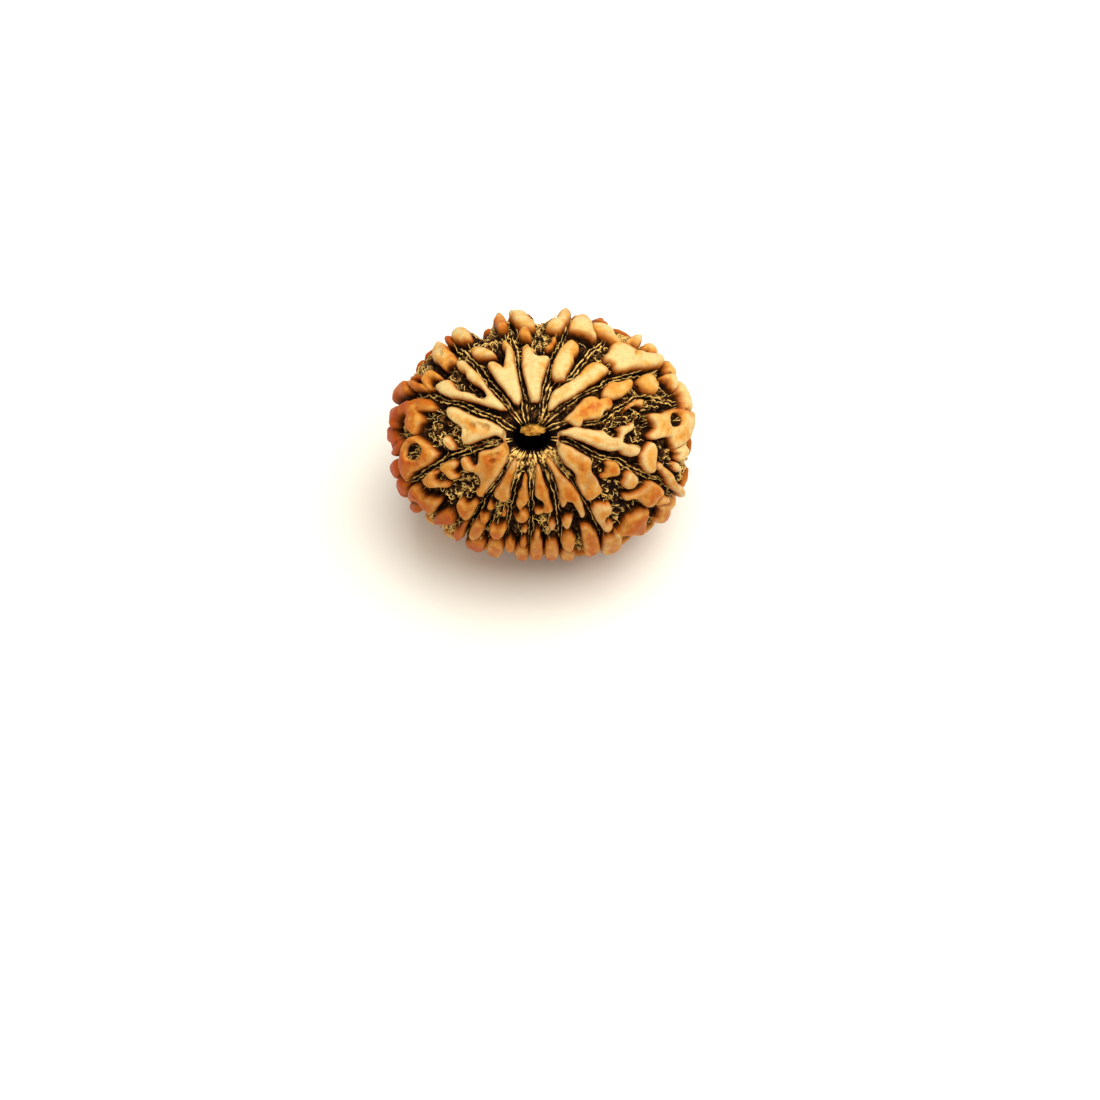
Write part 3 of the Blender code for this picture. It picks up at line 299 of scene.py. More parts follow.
def read_points(text):
    """Plan points of an outline or a course, in metres across and up from the bore."""
    rows = np.array([[float(value) for value in pair.split(",")] for pair in text.split()])
    return np.stack([rows[:, 0] - BORE_ACROSS, BORE_DOWN - rows[:, 1]], axis=1) * UNIT


def rim_length(angle, inset):
    """Distance from the bore's axis to the rim, this far inside the outline over the lobes."""
    low, high = np.zeros_like(angle), np.full_like(angle, 2.0 * HALF_LENGTH)
    for _ in range(HALVINGS):
        middle = 0.5 * (low + high)
        across = (middle * np.cos(angle) - MIDDLE_ACROSS) / (HALF_LENGTH - inset)
        up = (middle * np.sin(angle) - MIDDLE_UP) / (HALF_WIDTH - inset)
        lower = np.where(across < 0.0, LOWER_LEFT_FULLNESS, LOWER_RIGHT_FULLNESS)
        power = np.where(up < 0.0, lower, UPPER_FULLNESS)
        inside = np.abs(across) ** power + np.abs(up) ** power < 1.0
        low, high = np.where(inside, middle, low), np.where(inside, high, middle)
    return low


ROUND = np.linspace(-pi, pi, 721)
GROUND_RIM = rim_length(ROUND, LOBE_HEIGHT)
LOBE_RIM = rim_length(ROUND, LOBE_RIM_SHARE * LOBE_HEIGHT)
LOW_RIM = rim_length(ROUND, LOW_RIM_SHARE * LOBE_HEIGHT)


def ground(polar, angle):
    """Point of the ground between the lobes: across, up and along the bore."""
    reach = np.interp(wrapped(angle), ROUND, GROUND_RIM) * np.sin(polar)
    level = np.cos(polar)
    depth = (HALF_DEPTH - LOBE_HEIGHT) * np.sign(level) * np.abs(level) ** BARREL
    depth = depth - np.sign(level) * DIMPLE_DEPTH * np.exp(-(reach / DIMPLE_RADIUS) ** 2)
    return np.stack([reach * np.cos(angle), reach * np.sin(angle), depth], axis=-1)


def ground_frame(polar, angle):
    """Normal of the ground, and its steps along and round for one radian of each angle."""
    step = 2e-3
    along = (ground(polar + step, angle) - ground(polar - step, angle)) / (2 * step)
    across = (ground(polar, angle + step) - ground(polar, angle - step)) / (2 * step)
    normal = np.cross(along, across)
    return normal / np.linalg.norm(normal, axis=-1, keepdims=True), along, across


def to_polar(points, rim):
    """Polar angle and turn of plan points, carried a little round the rim where they pass it."""
    angle = np.arctan2(points[:, 1], points[:, 0])
    share = np.hypot(points[:, 0], points[:, 1]) / np.interp(angle, ROUND, rim)
    share = share * (1.0 - NEARNESS * np.sqrt(1.0 - np.minimum(share, 1.0) ** 2))
    slope = 1.0 / np.sqrt(1.0 - TURNING ** 2)
    return np.arcsin(np.minimum(share, TURNING)) + slope * np.maximum(share - TURNING, 0.0), angle


def lay_down(points):
    """From the bore's own directions to the way the seed lies."""
    lean, rise = cos(BORE_ELEVATION), sin(BORE_ELEVATION)
    backward = points[..., 1] * rise - points[..., 2] * lean
    upward = points[..., 1] * lean + points[..., 2] * rise
    return np.stack([points[..., 0], backward, upward], axis=-1) + np.array(SHIFT)


# %% [markdown]
# ## Seams and hidden lobes
# The seams go on over the rim to the far mouth, with a gentle twist. The hidden side can't be seen, so its
# lobes are set by a rule: three rings of them between each pair of seams, as on the face, and one ring of
# lower ones where the rim leaves room. A fixed seed gives the differences.

# %% Courses and hidden lobes
HIDDEN_SEED = 108
HIDDEN_RINGS = [(radians(107), radians(8.0)), (radians(123), radians(8.5)), (radians(147), radians(13.0))]
EDGE_RING = (radians(96), radians(5.5))
EDGE_CLEARANCE = 1.25e-3
EDGE_HEIGHT = 0.8
HIDDEN_SLOT, HIDDEN_GAP = 2.3e-3, 0.62e-3
SIDES_OF_LOBE = 12
LEAST_OF_SLOT, STRAY, OUT_OF_LINE = 0.45, 2.0, 5.0
LENGTH_SHARE, OUTLINE_SHARE, HEIGHT_SHARE = (0.72, 1.06), (0.80, 1.12), (0.82, 1.08)
OUTLINE_POWER = 0.8
HIDDEN_TONE, TONE_SPREAD = 0.34, 0.3
HOLLOW_LIMIT, HOLLOW_STEEPNESS = 0.35e-3, 1.5
SEAM_SWAY, SWAY_WAVES = 0.05, 3.0
LAST_SHOWN, FIRST_HIDDEN, LAST_HIDDEN, HIDDEN_STEPS = radians(88), radians(92), radians(172), 16


def sway(polar):
    """Gentle twist that seams and lobes share on the hidden side."""
    return SEAM_SWAY * np.sin(SWAY_WAVES * (polar - FIRST_HIDDEN))


def seam_angles():
    """Each seam as polar angles and turns, from the mouth over the rim to the far mouth."""
    courses = []
    for text in SEAMS:
        polar, angle = to_polar(read_points(text), LOW_RIM)
        shown = polar < LAST_SHOWN
        back = np.linspace(FIRST_HIDDEN, LAST_HIDDEN, HIDDEN_STEPS)
        courses.append((np.concatenate([polar[shown], back]),
                        np.concatenate([angle[shown], angle[shown][-1] + sway(back)])))
    return courses


def rim_turns():
    """Turn at which each seam passes the rim, in order."""
    ends = [to_polar(read_points(text), LOW_RIM) for text in SEAMS]
    return sorted(float(angle[polar < LAST_SHOWN][-1]) for polar, angle in ends)


def hollow(polar, angle):
    """How far the ground sinks into the hollows."""
    total = np.zeros_like(polar)
    for across, down, half_width, half_length, sink in HOLLOWS:
        middle_polar, middle_angle = to_polar(read_points(f"{across},{down}"), LOW_RIM)
        rim = np.interp(middle_angle[0], ROUND, GROUND_RIM)
        aside = wrapped(angle - middle_angle[0]) * rim * np.sin(middle_polar[0]) / (half_width * UNIT)
        along = (polar - middle_polar[0]) * rim / (half_length * UNIT)
        total = np.maximum(total, sink * smooth(HOLLOW_STEEPNESS * (1.0 - np.hypot(aside, along))))
    return total


def face_lobes():
    """Lobes of the measured face: polar angles and turns of each outline, a height and a tone."""
    return [to_polar(read_points(text), LOBE_RIM) + (LOBE_HEIGHT, TONES.get(name, OTHER_TONE))
            for name, text in FACE_LOBES.items()]


def hidden_lobes():
    """Lobes of the hidden side: rings of them between each pair of seams, varied by a seeded rule."""
    chance = random.Random(HIDDEN_SEED)
    turns = rim_turns()
    taken = np.concatenate([ground(polar, angle) for polar, angle, _, _ in face_lobes()])
    lobes = []
    for first, second in zip(turns, turns[1:] + [turns[0] + 2 * pi]):
        rim = float(np.interp(wrapped(0.5 * (first + second)), ROUND, GROUND_RIM))
        for middle, half_length in HIDDEN_RINGS + [EDGE_RING]:
            width = (second - first) * rim * np.sin(middle)
            slots = max(1, round(width / HIDDEN_SLOT))
            for slot in range(slots):
                pitch = (second - first) / slots
                half_angle = 0.5 * pitch * max(LEAST_OF_SLOT, 1.0 - HIDDEN_GAP / (width / slots))
                strayed = chance.uniform(-STRAY, STRAY) + (slot % 2) * OUT_OF_LINE
                centre = middle + radians(strayed - 0.5 * OUT_OF_LINE)
                length = half_length * chance.uniform(*LENGTH_SHARE)
                turn = np.linspace(0.0, 2 * pi, SIDES_OF_LOBE, endpoint=False)
                wobble = np.array([chance.uniform(*OUTLINE_SHARE) for _ in range(SIDES_OF_LOBE)])
                polar = centre + length * np.cos(turn) * wobble
                aside = half_angle * np.sign(np.sin(turn)) * np.abs(np.sin(turn)) ** OUTLINE_POWER * wobble
                angle = first + (slot + 0.5) * pitch + aside + sway(polar)
                height = LOBE_HEIGHT * chance.uniform(*HEIGHT_SHARE)
                if middle == EDGE_RING[0]:
                    height = height * EDGE_HEIGHT
                    away = taken - ground(polar, angle).mean(axis=0)
                    if np.sqrt((away * away).sum(axis=1)).min() < EDGE_CLEARANCE:
                        continue
                if hollow(polar, angle).max() < HOLLOW_LIMIT:
                    lobes.append((polar, angle, height, HIDDEN_TONE + TONE_SPREAD * (slot % 3) / 2))
    return lobes


LOBES = face_lobes() + hidden_lobes()
SEAM_COURSES = seam_angles()
print(len(LOBES), "lobes in all")

# %% [markdown]
# ## Noise
# Grown surfaces are never even. This small function makes smooth bumps of a given size, the same on every
# run, from slopes that are drawn once for each corner of a box grid.

# %% Smooth noise
def bumps(points, size, seed):
    """Smooth noise between about -1 and 1 whose bumps are about one size apart."""
    draw = np.random.RandomState(seed)
    order = draw.permutation(256)
    slopes = draw.normal(size=(256, 3))
    slopes = slopes / np.linalg.norm(slopes, axis=1)[:, None]
    scaled = points / size + 100.0
    cells = np.floor(scaled).astype(int)
    inner = scaled - cells
    fade = inner ** 3 * (inner * (6.0 * inner - 15.0) + 10.0)
    total = np.zeros(len(points))
    for corner in np.ndindex(2, 2, 2):
        key = order[(cells[:, 0] + corner[0]) & 255]
        key = order[(key + cells[:, 1] + corner[1]) & 255]
        key = order[(key + cells[:, 2] + corner[2]) & 255]
        weight = np.prod(np.where(corner, fade, 1.0 - fade), axis=1)
        total += weight * (slopes[key] * (inner - corner)).sum(axis=1)
    return 1.6 * total


# %% [markdown]
# ## Relief
# The relief is a height over the ground. Inside a lobe's outline the height climbs steeply and rounds off
# into a plateau, outside it the ground dips in a narrow moat, and along each seam runs a groove with a low
# ridge. A lobe's flank also swells outwards past its foot, which no height can give, so the relief returns a
# sideways push as well.

# %% Relief of the husk
FOOT_SPREAD = 0.08e-3
SHOULDER, LEAST_SHOULDER, SHOULDER_POWER, NARROW_SHARE = 0.40e-3, 0.23e-3, 2.5, 0.45
SWELL, SWELL_WIDTH = 0.13e-3, 0.9e-3
GROOVE_DEPTH, GROOVE_WIDTH = 0.30e-3, 0.62e-3
RIDGE_HEIGHT, RIDGE_WIDTH = 0.42e-3, 0.24e-3
SLIT_DEPTH, SLIT_WIDTH = 0.22e-3, 0.09e-3
MOAT_DEPTH, MOAT_WIDTH = 0.24e-3, 0.20e-3
FLANK_SWELL = 0.09e-3
EDGE_WAVER = 0.055e-3
CRUST_HEIGHT = 0.17e-3
DENTS, DENT_SIZE, FINE_DENTS, FINE_DENT_SIZE = 0.16e-3, 1.4e-3, 0.065e-3, 0.55e-3
PIT_STEEPNESS, DEEP_PIT = 1.9, 0.53e-3
PIT_RIM_DEPTH, PIT_DARKENING = 0.45e-3, 0.95e-3
REST_LOBE = np.array([3.3e-3, 2.7e-3, 2.7e-3])
REST_LOBE_HEIGHT, REST_LOBE_SHOULDER = 1.16e-3, 0.62e-3


def nearest_edge(points, course, closed):
    """Distance from each point to a run of straight pieces, and the way from it to the point."""
    ends = np.roll(course, -1, axis=0) if closed else course[1:]
    starts = course if closed else course[:-1]
    nearest = np.full(len(points), 1.0)
    way = np.zeros_like(points)
    for start, end in zip(starts, ends):
        run = end - start
        along = np.clip((points - start) @ run / max(run @ run, 1e-18), 0.0, 1.0)
        away = points - start - along[:, None] * run
        distance = np.sqrt((away * away).sum(axis=1))
        closer = distance < nearest
        nearest = np.where(closer, distance, nearest)
        way = np.where(closer[:, None], away, way)
    return nearest, way


def inside_outline(points, outline):
    """Which flat-map points lie inside a closed outline."""
    inside = np.zeros(len(points), dtype=bool)
    for start, end in zip(outline, np.roll(outline, -1, axis=0)):
        crosses = (start[1] > points[:, 1]) != (end[1] > points[:, 1])
        rise = end[1] - start[1] if end[1] != start[1] else 1e-12
        limit = start[0] + (points[:, 1] - start[1]) * (end[0] - start[0]) / rise
        inside ^= crosses & (points[:, 0] < limit)
    return inside


def lobe_relief(points, polar, angle):
    """Height of the lobes, depth inside their outlines, the way inwards and the tone at each point."""
    flat = np.stack([polar * np.cos(angle), polar * np.sin(angle)], axis=-1)
    height = np.zeros(len(points))
    inside_by = np.full(len(points), -1e-3)
    inwards = np.zeros_like(points)
    tone = np.full(len(points), OTHER_TONE)
    ragged = EDGE_WAVER * (bumps(points, 0.62e-3, 24) + 0.5 * bumps(points, 0.27e-3, 25))
    for lobe_polar, lobe_angle, lobe_height, lobe_tone in LOBES:
        corners = ground(lobe_polar, lobe_angle)
        middle = corners.mean(axis=0)
        reach = np.sqrt(((corners - middle) ** 2).sum(axis=1)).max() + 0.8e-3
        near = np.flatnonzero(((points - middle) ** 2).sum(axis=1) < reach ** 2)
        if len(near) == 0:
            continue
        edge, way = nearest_edge(points[near], corners, True)
        outline = np.stack([lobe_polar * np.cos(lobe_angle), lobe_polar * np.sin(lobe_angle)], axis=-1)
        sign = np.where(inside_outline(flat[near], outline), 1.0, -1.0)
        depth = sign * edge + FOOT_SPREAD + ragged[near]
        shoulder = np.clip(depth.max(), LEAST_SHOULDER, SHOULDER)
        rounding = np.clip(depth / shoulder, 0.0, 1.0)
        crown = lobe_height * (NARROW_SHARE + (1.0 - NARROW_SHARE) * shoulder / SHOULDER)
        top = crown * (1.0 - (1.0 - rounding) ** SHOULDER_POWER)
        top = top + SWELL * smooth((depth - SHOULDER) / SWELL_WIDTH)
        height[near] = np.maximum(height[near], np.where(depth > 0.0, top, 0.0))
        deeper = depth > inside_by[near]
        chosen = near[deeper]
        inside_by[chosen] = depth[deeper]
        inwards[chosen] = (sign / np.maximum(edge, 1e-6))[deeper, None] * way[deeper]
        tone[chosen] = lobe_tone
    return height, inside_by, inwards, tone


def seam_distance(points):
    """Distance to the nearest seam."""
    nearest = np.full(len(points), 1.0)
    for polar, angle in SEAM_COURSES:
        nearest = np.minimum(nearest, nearest_edge(points, ground(polar, angle), False)[0])
    return nearest


def lowest_ground():
    """Point of the ground that faces straight down as the seed lies."""
    polar, angle = np.meshgrid(np.linspace(0.2, pi - 0.2, 180), ROUND)
    points = ground(polar, angle).reshape(-1, 3)
    outward = points - np.array([MIDDLE_ACROSS, MIDDLE_UP, 0.0])
    outward = outward / np.linalg.norm(outward, axis=1)[:, None]
    down = np.array([0.0, -cos(BORE_ELEVATION), -sin(BORE_ELEVATION)])
    return points[np.argmax(outward @ down)]


REST_POINT = lowest_ground()


def crust(points):
    """Crumpled crust of the ground: sharp small folds over softer bumps."""
    folds = 1.0 - 2.6 * np.abs(bumps(points, 0.66e-3, 11))
    fine = 1.0 - 2.4 * np.abs(bumps(points, 0.34e-3, 12))
    return 0.9 * folds + 0.7 * fine + 0.8 * bumps(points, 1.3e-3, 13)


def husk_relief(points, polar, angle):
    """Height and sideways push of the husk at each point of the ground, and what its finish needs."""
    lobe_height, depth, inwards, tone = lobe_relief(points, polar, angle)
    near_seam = seam_distance(points)
    crest = crust(points)
    low = CRUST_HEIGHT * crest - GROOVE_DEPTH * np.exp(-(near_seam / GROOVE_WIDTH) ** 2)
    low = low + RIDGE_HEIGHT * np.exp(-(near_seam / RIDGE_WIDTH) ** 2) - hollow(polar, angle)
    low = low - SLIT_DEPTH * np.exp(-(near_seam / SLIT_WIDTH) ** 2)
    low = low - MOAT_DEPTH * np.exp(-((depth + 0.06e-3) / MOAT_WIDTH) ** 2)
    dents = DENTS * bumps(points, DENT_SIZE, 21) + FINE_DENTS * bumps(points, FINE_DENT_SIZE, 22)
    height = np.where(depth > 0.0, np.maximum(low, lobe_height + dents * smooth(depth / 0.4e-3)), low)
    push = np.exp(-((depth - 0.16e-3) / 0.14e-3) ** 2) - 0.7 * np.exp(-(depth / 0.09e-3) ** 2)
    for across, down, radius, sink in PITS:
        pit_polar, pit_angle = to_polar(read_points(f"{across},{down}"), LOBE_RIM)
        middle = ground(pit_polar, pit_angle)[0]
        away = np.hypot(points[:, 0] - middle[0], points[:, 1] - middle[1])
        sunk = np.where(points[:, 2] > 0.0, smooth(PIT_STEEPNESS * (1.0 - away / (radius * UNIT))), 0.0)
        height = height - sink * sunk + CRUST_HEIGHT * crest * sunk * (sink > DEEP_PIT)
        # In a deep pit the depth kept for the finish falls, so the pit's walls take the lobes' foot and flank
        # colours, which are partly painted shade, and its floor the crust's.
        if sink > DEEP_PIT:
            depth = np.where(sunk > 0.0, np.minimum(depth, PIT_RIM_DEPTH - PIT_DARKENING * sunk), depth)
    away = (points - REST_POINT) / REST_LOBE
    beyond = np.sqrt((away * away).sum(axis=1)) + 0.05 * np.sin(4.0 * angle + 1.0)
    worn = REST_LOBE_HEIGHT * smooth((1.0 - beyond) * REST_LOBE[1] / REST_LOBE_SHOULDER)
    on_rest = (beyond < 1.0) & (worn > height)
    depth = np.where(on_rest, np.maximum(depth, (1.0 - beyond) * REST_LOBE[1]), depth)
    height = np.where(beyond < 1.0, np.maximum(height, worn), height)
    traits = {"lobe_depth": 1000.0 * depth, "lobe_tone": tone, "crest": crest,
              "seam_distance": 1000.0 * near_seam}
    return height, -inwards * (FLANK_SWELL * push)[:, None], traits


# %% [markdown]
# ## The husk
# The husk is one closed skin: over the face, round the rim, over the hidden side and back along the bore.
# It could be sculpted, but a formula keeps every lobe on its measured outline. A flat grid is bent into that
# ring-shaped skin, its two loose sides are merged, and the relief is added along the normals. The grid is
# much finer than needed, so that a Decimate modifier can leave faces where the surface turns sharply and
# take them from the smooth plateaus.

# %% Bend the grid into the husk
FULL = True
TURNS = 1000 if FULL else 520
OUTER_ROWS = 380 if FULL else 200
LIP_ROWS, WALL_ROWS = 16, 36
LIP_RIDGE, LIP_RIDGE_ANGLE = 0.06e-3, 0.10
WALL_ROUGHNESS, WALL_FOLD = 0.15e-3, 0.5e-3
HUSK_FACES = 196000 if FULL else 120000


def lip_radius(turn):
    """Radius of the bore's mouth, wider across than up."""
    return MOUTH_RADIUS * (1.0 + MOUTH_OVAL * np.cos(2.0 * turn))


def mouth_polar(turn):
    """Polar angle at which the outside starts at each turn."""
    return np.arcsin(lip_radius(turn) / np.interp(wrapped(turn), ROUND, GROUND_RIM))


def outer_skin():
    """Points of the outside and their traits, row by row from the mouth to the far mouth."""
    turn = np.linspace(-pi, pi, TURNS, endpoint=False)
    mouth = mouth_polar(turn)
    share = np.linspace(0.0, 1.0, OUTER_ROWS)[:, None]
    polar = mouth + (pi - 2.0 * mouth) * share
    angle = np.broadcast_to(turn, polar.shape)
    base = ground(polar, angle)
    normal = ground_frame(polar, angle)[0]
    height, push, traits = husk_relief(base.reshape(-1, 3), polar.ravel(), angle.ravel())
    height, push = height.reshape(polar.shape), push.reshape(base.shape)
    height = 0.5 * height + 0.25 * (np.roll(height, 1, axis=1) + np.roll(height, -1, axis=1))
    height[1:-1] = 0.5 * height[1:-1] + 0.25 * (height[:-2] + height[2:])
    fade = smooth(np.minimum(share, 1.0 - share) * 60.0)[:, :, None]
    traits = {name: values.reshape(polar.shape) for name, values in traits.items()}
    return base + fade * (normal * height[:, :, None] + push), traits


def bore_skin(face_level, far_level):
    """Points of the two lips and the wall of the bore, row by row from the face inwards."""
    turn = np.linspace(-pi, pi, TURNS, endpoint=False)
    wall = BORE_RADIUS * (1.0 + BORE_OVAL * np.cos(2.0 * turn))
    ridged = np.zeros_like(turn)
    for seam in rim_turns():
        ridged = np.maximum(ridged, np.exp(-(wrapped(turn - seam) / LIP_RIDGE_ANGLE) ** 2))
    rows = []
    for side, level in ((-1.0, far_level), (1.0, face_level)):
        swings = [0.5 * pi * row / LIP_ROWS for row in range(1, LIP_ROWS + 1)]
        for swing in swings if side < 0 else reversed(swings):
            radius = wall + (lip_radius(turn) - wall) * (1.0 - sin(swing))
            radius = radius - LIP_RIDGE * ridged * sin(2.0 * swing)
            rows.append((radius, level - side * MOUTH_DEPTH * (1.0 - cos(swing)), 0.0))
        if side < 0:
            first, last = rows[-1][1], face_level - MOUTH_DEPTH
            for share in np.arange(1, WALL_ROWS) / WALL_ROWS:
                narrowed = BORE_WAIST + (wall - BORE_WAIST) * (2.0 * share - 1.0) ** 2
                rows.append((narrowed, first + (last - first) * share, -BORE_BOW * sin(pi * share) ** 2))
    skin = np.array([np.stack([radius * np.cos(turn), radius * np.sin(turn) + bow, level], axis=-1)
                     for radius, level, bow in rows])
    fade = np.ones(len(rows))
    fade[:4] = fade[-4:][::-1] = np.linspace(0.0, 0.75, 4)
    points = skin.reshape(-1, 3)
    folds = np.abs(bumps(points * (1.0, 1.0, 0.4), WALL_FOLD, 31))
    roughness = WALL_ROUGHNESS * (1.0 - 2.2 * folds)
    inward = np.stack([-np.cos(turn), -np.sin(turn), np.zeros_like(turn)], axis=-1)
    return skin + inward[None] * roughness.reshape(skin.shape[:2])[:, :, None] * fade[:, None, None]


outside, outside_traits = outer_skin()
inside = bore_skin(outside[0, :, 2], outside[-1, :, 2])
skin = lay_down(np.concatenate([outside, inside]))
# The bore's wall takes the darkest crust colour, partly as painted shade inside the bore.
bore_traits = {"lobe_depth": -1.0, "lobe_tone": 0.0, "crest": -0.9, "seam_distance": 1.0}
traits = {name: np.concatenate([outside_traits[name], np.full(inside.shape[:2], value)])
          for name, value in bore_traits.items()}
print("skin of", skin.shape[0], "rows and", skin.shape[1], "turns")


# %% Helpers for pieces
def add_object(name, mesh):
    """Put a mesh in the scene as an object at the origin."""
    piece = bpy.data.objects.new(name, mesh)
    bpy.context.scene.collection.objects.link(piece)
    return piece


def settle(piece):
    """Make the result of a piece's modifiers its own mesh."""
    graph = bpy.context.evaluated_depsgraph_get()
    graph.update()
    result = bpy.data.meshes.new_from_object(piece.evaluated_get(graph))
    piece.modifiers.clear()
    old, piece.data = piece.data, result
    bpy.data.meshes.remove(old)


def hand_over(piece, finish):
    """Give a piece its finish, smooth its faces, hang it under the root and hide the solid of the seed."""
    piece.data.materials.clear()
    piece.data.materials.append(finish)
    for face in piece.data.polygons:
        face.use_smooth = True
    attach(piece, "root")
    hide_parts("seed")
    print(piece.name, "has", sum(len(face.vertices) - 2 for face in piece.data.polygons), "triangles")


# %% Make the husk
def make_husk():
    """The husk as one closed mesh, with each point's traits kept as attributes for its finish."""
    rows, turns = skin.shape[:2]
    maker = bmesh.new()
    bmesh.ops.create_grid(maker, x_segments=turns, y_segments=rows, size=1.0)
    mesh = bpy.data.meshes.new("husk")
    maker.to_mesh(mesh)
    flat = np.empty(len(mesh.vertices) * 3)
    mesh.vertices.foreach_get("co", flat)
    flat = flat.reshape(-1, 3)
    column = np.rint((flat[:, 0] + 1.0) * 0.5 * turns).astype(int) % turns
    row = np.rint((flat[:, 1] + 1.0) * 0.5 * rows).astype(int) % rows
    mesh.vertices.foreach_set("co", skin[row, column].ravel())
    for name, values in traits.items():
        layer = mesh.attributes.new(name, "FLOAT", "POINT")
        layer.data.foreach_set("value", values[row, column])
    maker.clear()
    maker.from_mesh(mesh)
    bmesh.ops.remove_doubles(maker, verts=maker.verts, dist=1e-7)
    bmesh.ops.recalc_face_normals(maker, faces=maker.faces)
    maker.to_mesh(mesh)
    maker.free()
    husk = add_object("husk", mesh)
    fewer = husk.modifiers.new("fewer_faces", "DECIMATE")
    fewer.ratio = HUSK_FACES / (2.0 * len(mesh.polygons))
    settle(husk)
    for vertex in husk.data.vertices:
        vertex.co.z = max(vertex.co.z, 0.0)
    return husk


husk = make_husk()
print("husk made with", len(husk.data.polygons), "faces")

# %% [markdown]
# ## A place on the husk
# The ridges and fibres lie on the husk, so each needs to know how high the husk is at its own place. The
# rows of the skin are already known, so a place between four of its points is read from them.

# %% Read the skin between its points
def on_skin(polar, angle):
    """Point, outward direction and depth in a lobe of the husk at polar angles and turns."""
    mouth = mouth_polar(angle)
    row = np.clip((polar - mouth) / (pi - 2.0 * mouth), 0.0, 1.0) * (OUTER_ROWS - 1)
    column = (wrapped(angle) + pi) / (2 * pi) * TURNS
    row_cell = np.minimum(row.astype(int), OUTER_ROWS - 2)
    column_cell = column.astype(int)
    down, right = (row - row_cell)[..., None], (column - column_cell)[..., None]
    left, after = column_cell % TURNS, (column_cell + 1) % TURNS
    upper = outside[row_cell, left] * (1 - right) + outside[row_cell, after] * right
    lower = outside[row_cell + 1, left] * (1 - right) + outside[row_cell + 1, after] * right
    normal = ground_frame(polar, angle)[0]
    return upper * (1 - down) + lower * down, normal, outside_traits["lobe_depth"][row_cell, left] * 1e-3


# %% [markdown]
# ## Threads
# Seam ridges and fibres are both threads of tissue. Each is a curve with a round bevel, because a curve
# takes a radius at every point, so one thread can taper to nothing at its ends and have knots between them.
# The curves are turned into one closed mesh, since the export needs meshes.

# %% A mesh from many tapered threads
def make_threads(name, threads):
    """One mesh from threads, each given as its points in the bore's directions and its radii."""
    curve = bpy.data.curves.new(name + "_course", "CURVE")
    curve.dimensions = "3D"
    curve.bevel_depth = 1.0
    curve.bevel_resolution = 0
    curve.use_fill_caps = True
    for points, radii in threads:
        spline = curve.splines.new("POLY")
        spline.points.add(len(points) - 1)
        placed = np.concatenate([lay_down(points), np.ones((len(points), 1))], axis=1)
        spline.points.foreach_set("co", placed.ravel())
        spline.points.foreach_set("radius", radii)
    course = add_object(name + "_course", curve)
    graph = bpy.context.evaluated_depsgraph_get()
    graph.update()
    mesh = bpy.data.meshes.new_from_object(course.evaluated_get(graph))
    mesh.name = name
    bpy.data.objects.remove(course)
    maker = bmesh.new()
    maker.from_mesh(mesh)
    bmesh.ops.remove_doubles(maker, verts=maker.verts, dist=1e-7)
    bmesh.ops.recalc_face_normals(maker, faces=maker.faces)
    open_edges = sum(1 for edge in maker.edges if len(edge.link_faces) != 2)
    maker.to_mesh(mesh)
    maker.free()
    print(name, "has", len(threads), "threads and", open_edges, "open edges")
    return add_object(name, mesh)


# %% [markdown]
# ## Seam ridges
# Along each seam two thin, crinkled, pale ridges run side by side from inside the mouth over the face and
# round to the far mouth. They are the edges of two grown walls that meet there. Each ridge is made of
# threads with a gap here and there, and its height, width and distance from its twin change all the time.

# %% Lay the seam ridges
RIDGE_STEP = 0.09e-3
RIDGE_APART, RIDGE_THREAD = 0.17e-3, 0.070e-3
RIDGE_CRINKLE = 0.10e-3
RIDGE_LIFT, RIDGE_WAVE = 0.03e-3, 0.06e-3
LEAST_RIDGE, LEAST_PIECE, SHORTEST, LONGEST = 0.35, 4, 14, 70
DOWN_THE_BORE, LIP_POINTS, DEEPEST_SWING, LIP_SWING = 1.3e-3, 9, 1.35, 0.12
ON_A_LOBE = 0.09e-3
FADE, FADE_FROM, FADE_OVER = 0.45, 3.0e-3, 2.5e-3


def seam_line(polar, angle):
    """Even steps along one seam: polar angles and turns."""
    points = ground(polar, angle)
    length = np.concatenate([[0.0], np.cumsum(np.linalg.norm(np.diff(points, axis=0), axis=1))])
    even = np.arange(0.0, length[-1], RIDGE_STEP)
    return np.interp(even, length, polar), np.interp(even, length, np.unwrap(angle))


def over_the_lip(turn):
    """Points that bring a ridge from a little way down the bore up to the lip."""
    swings = np.linspace(DEEPEST_SWING, LIP_SWING, LIP_POINTS)
    wall = BORE_RADIUS * (1.0 + BORE_OVAL * cos(2.0 * turn))
    radius = wall + (lip_radius(turn) - wall) * (1.0 - np.sin(swings)) - 0.05e-3
    lip_level = outside[0, int((wrapped(turn) + pi) / (2 * pi) * TURNS) % TURNS, 2]
    level = lip_level - DOWN_THE_BORE * (1.0 - np.cos(swings))
    return np.stack([radius * cos(turn), radius * sin(turn), level], axis=-1)


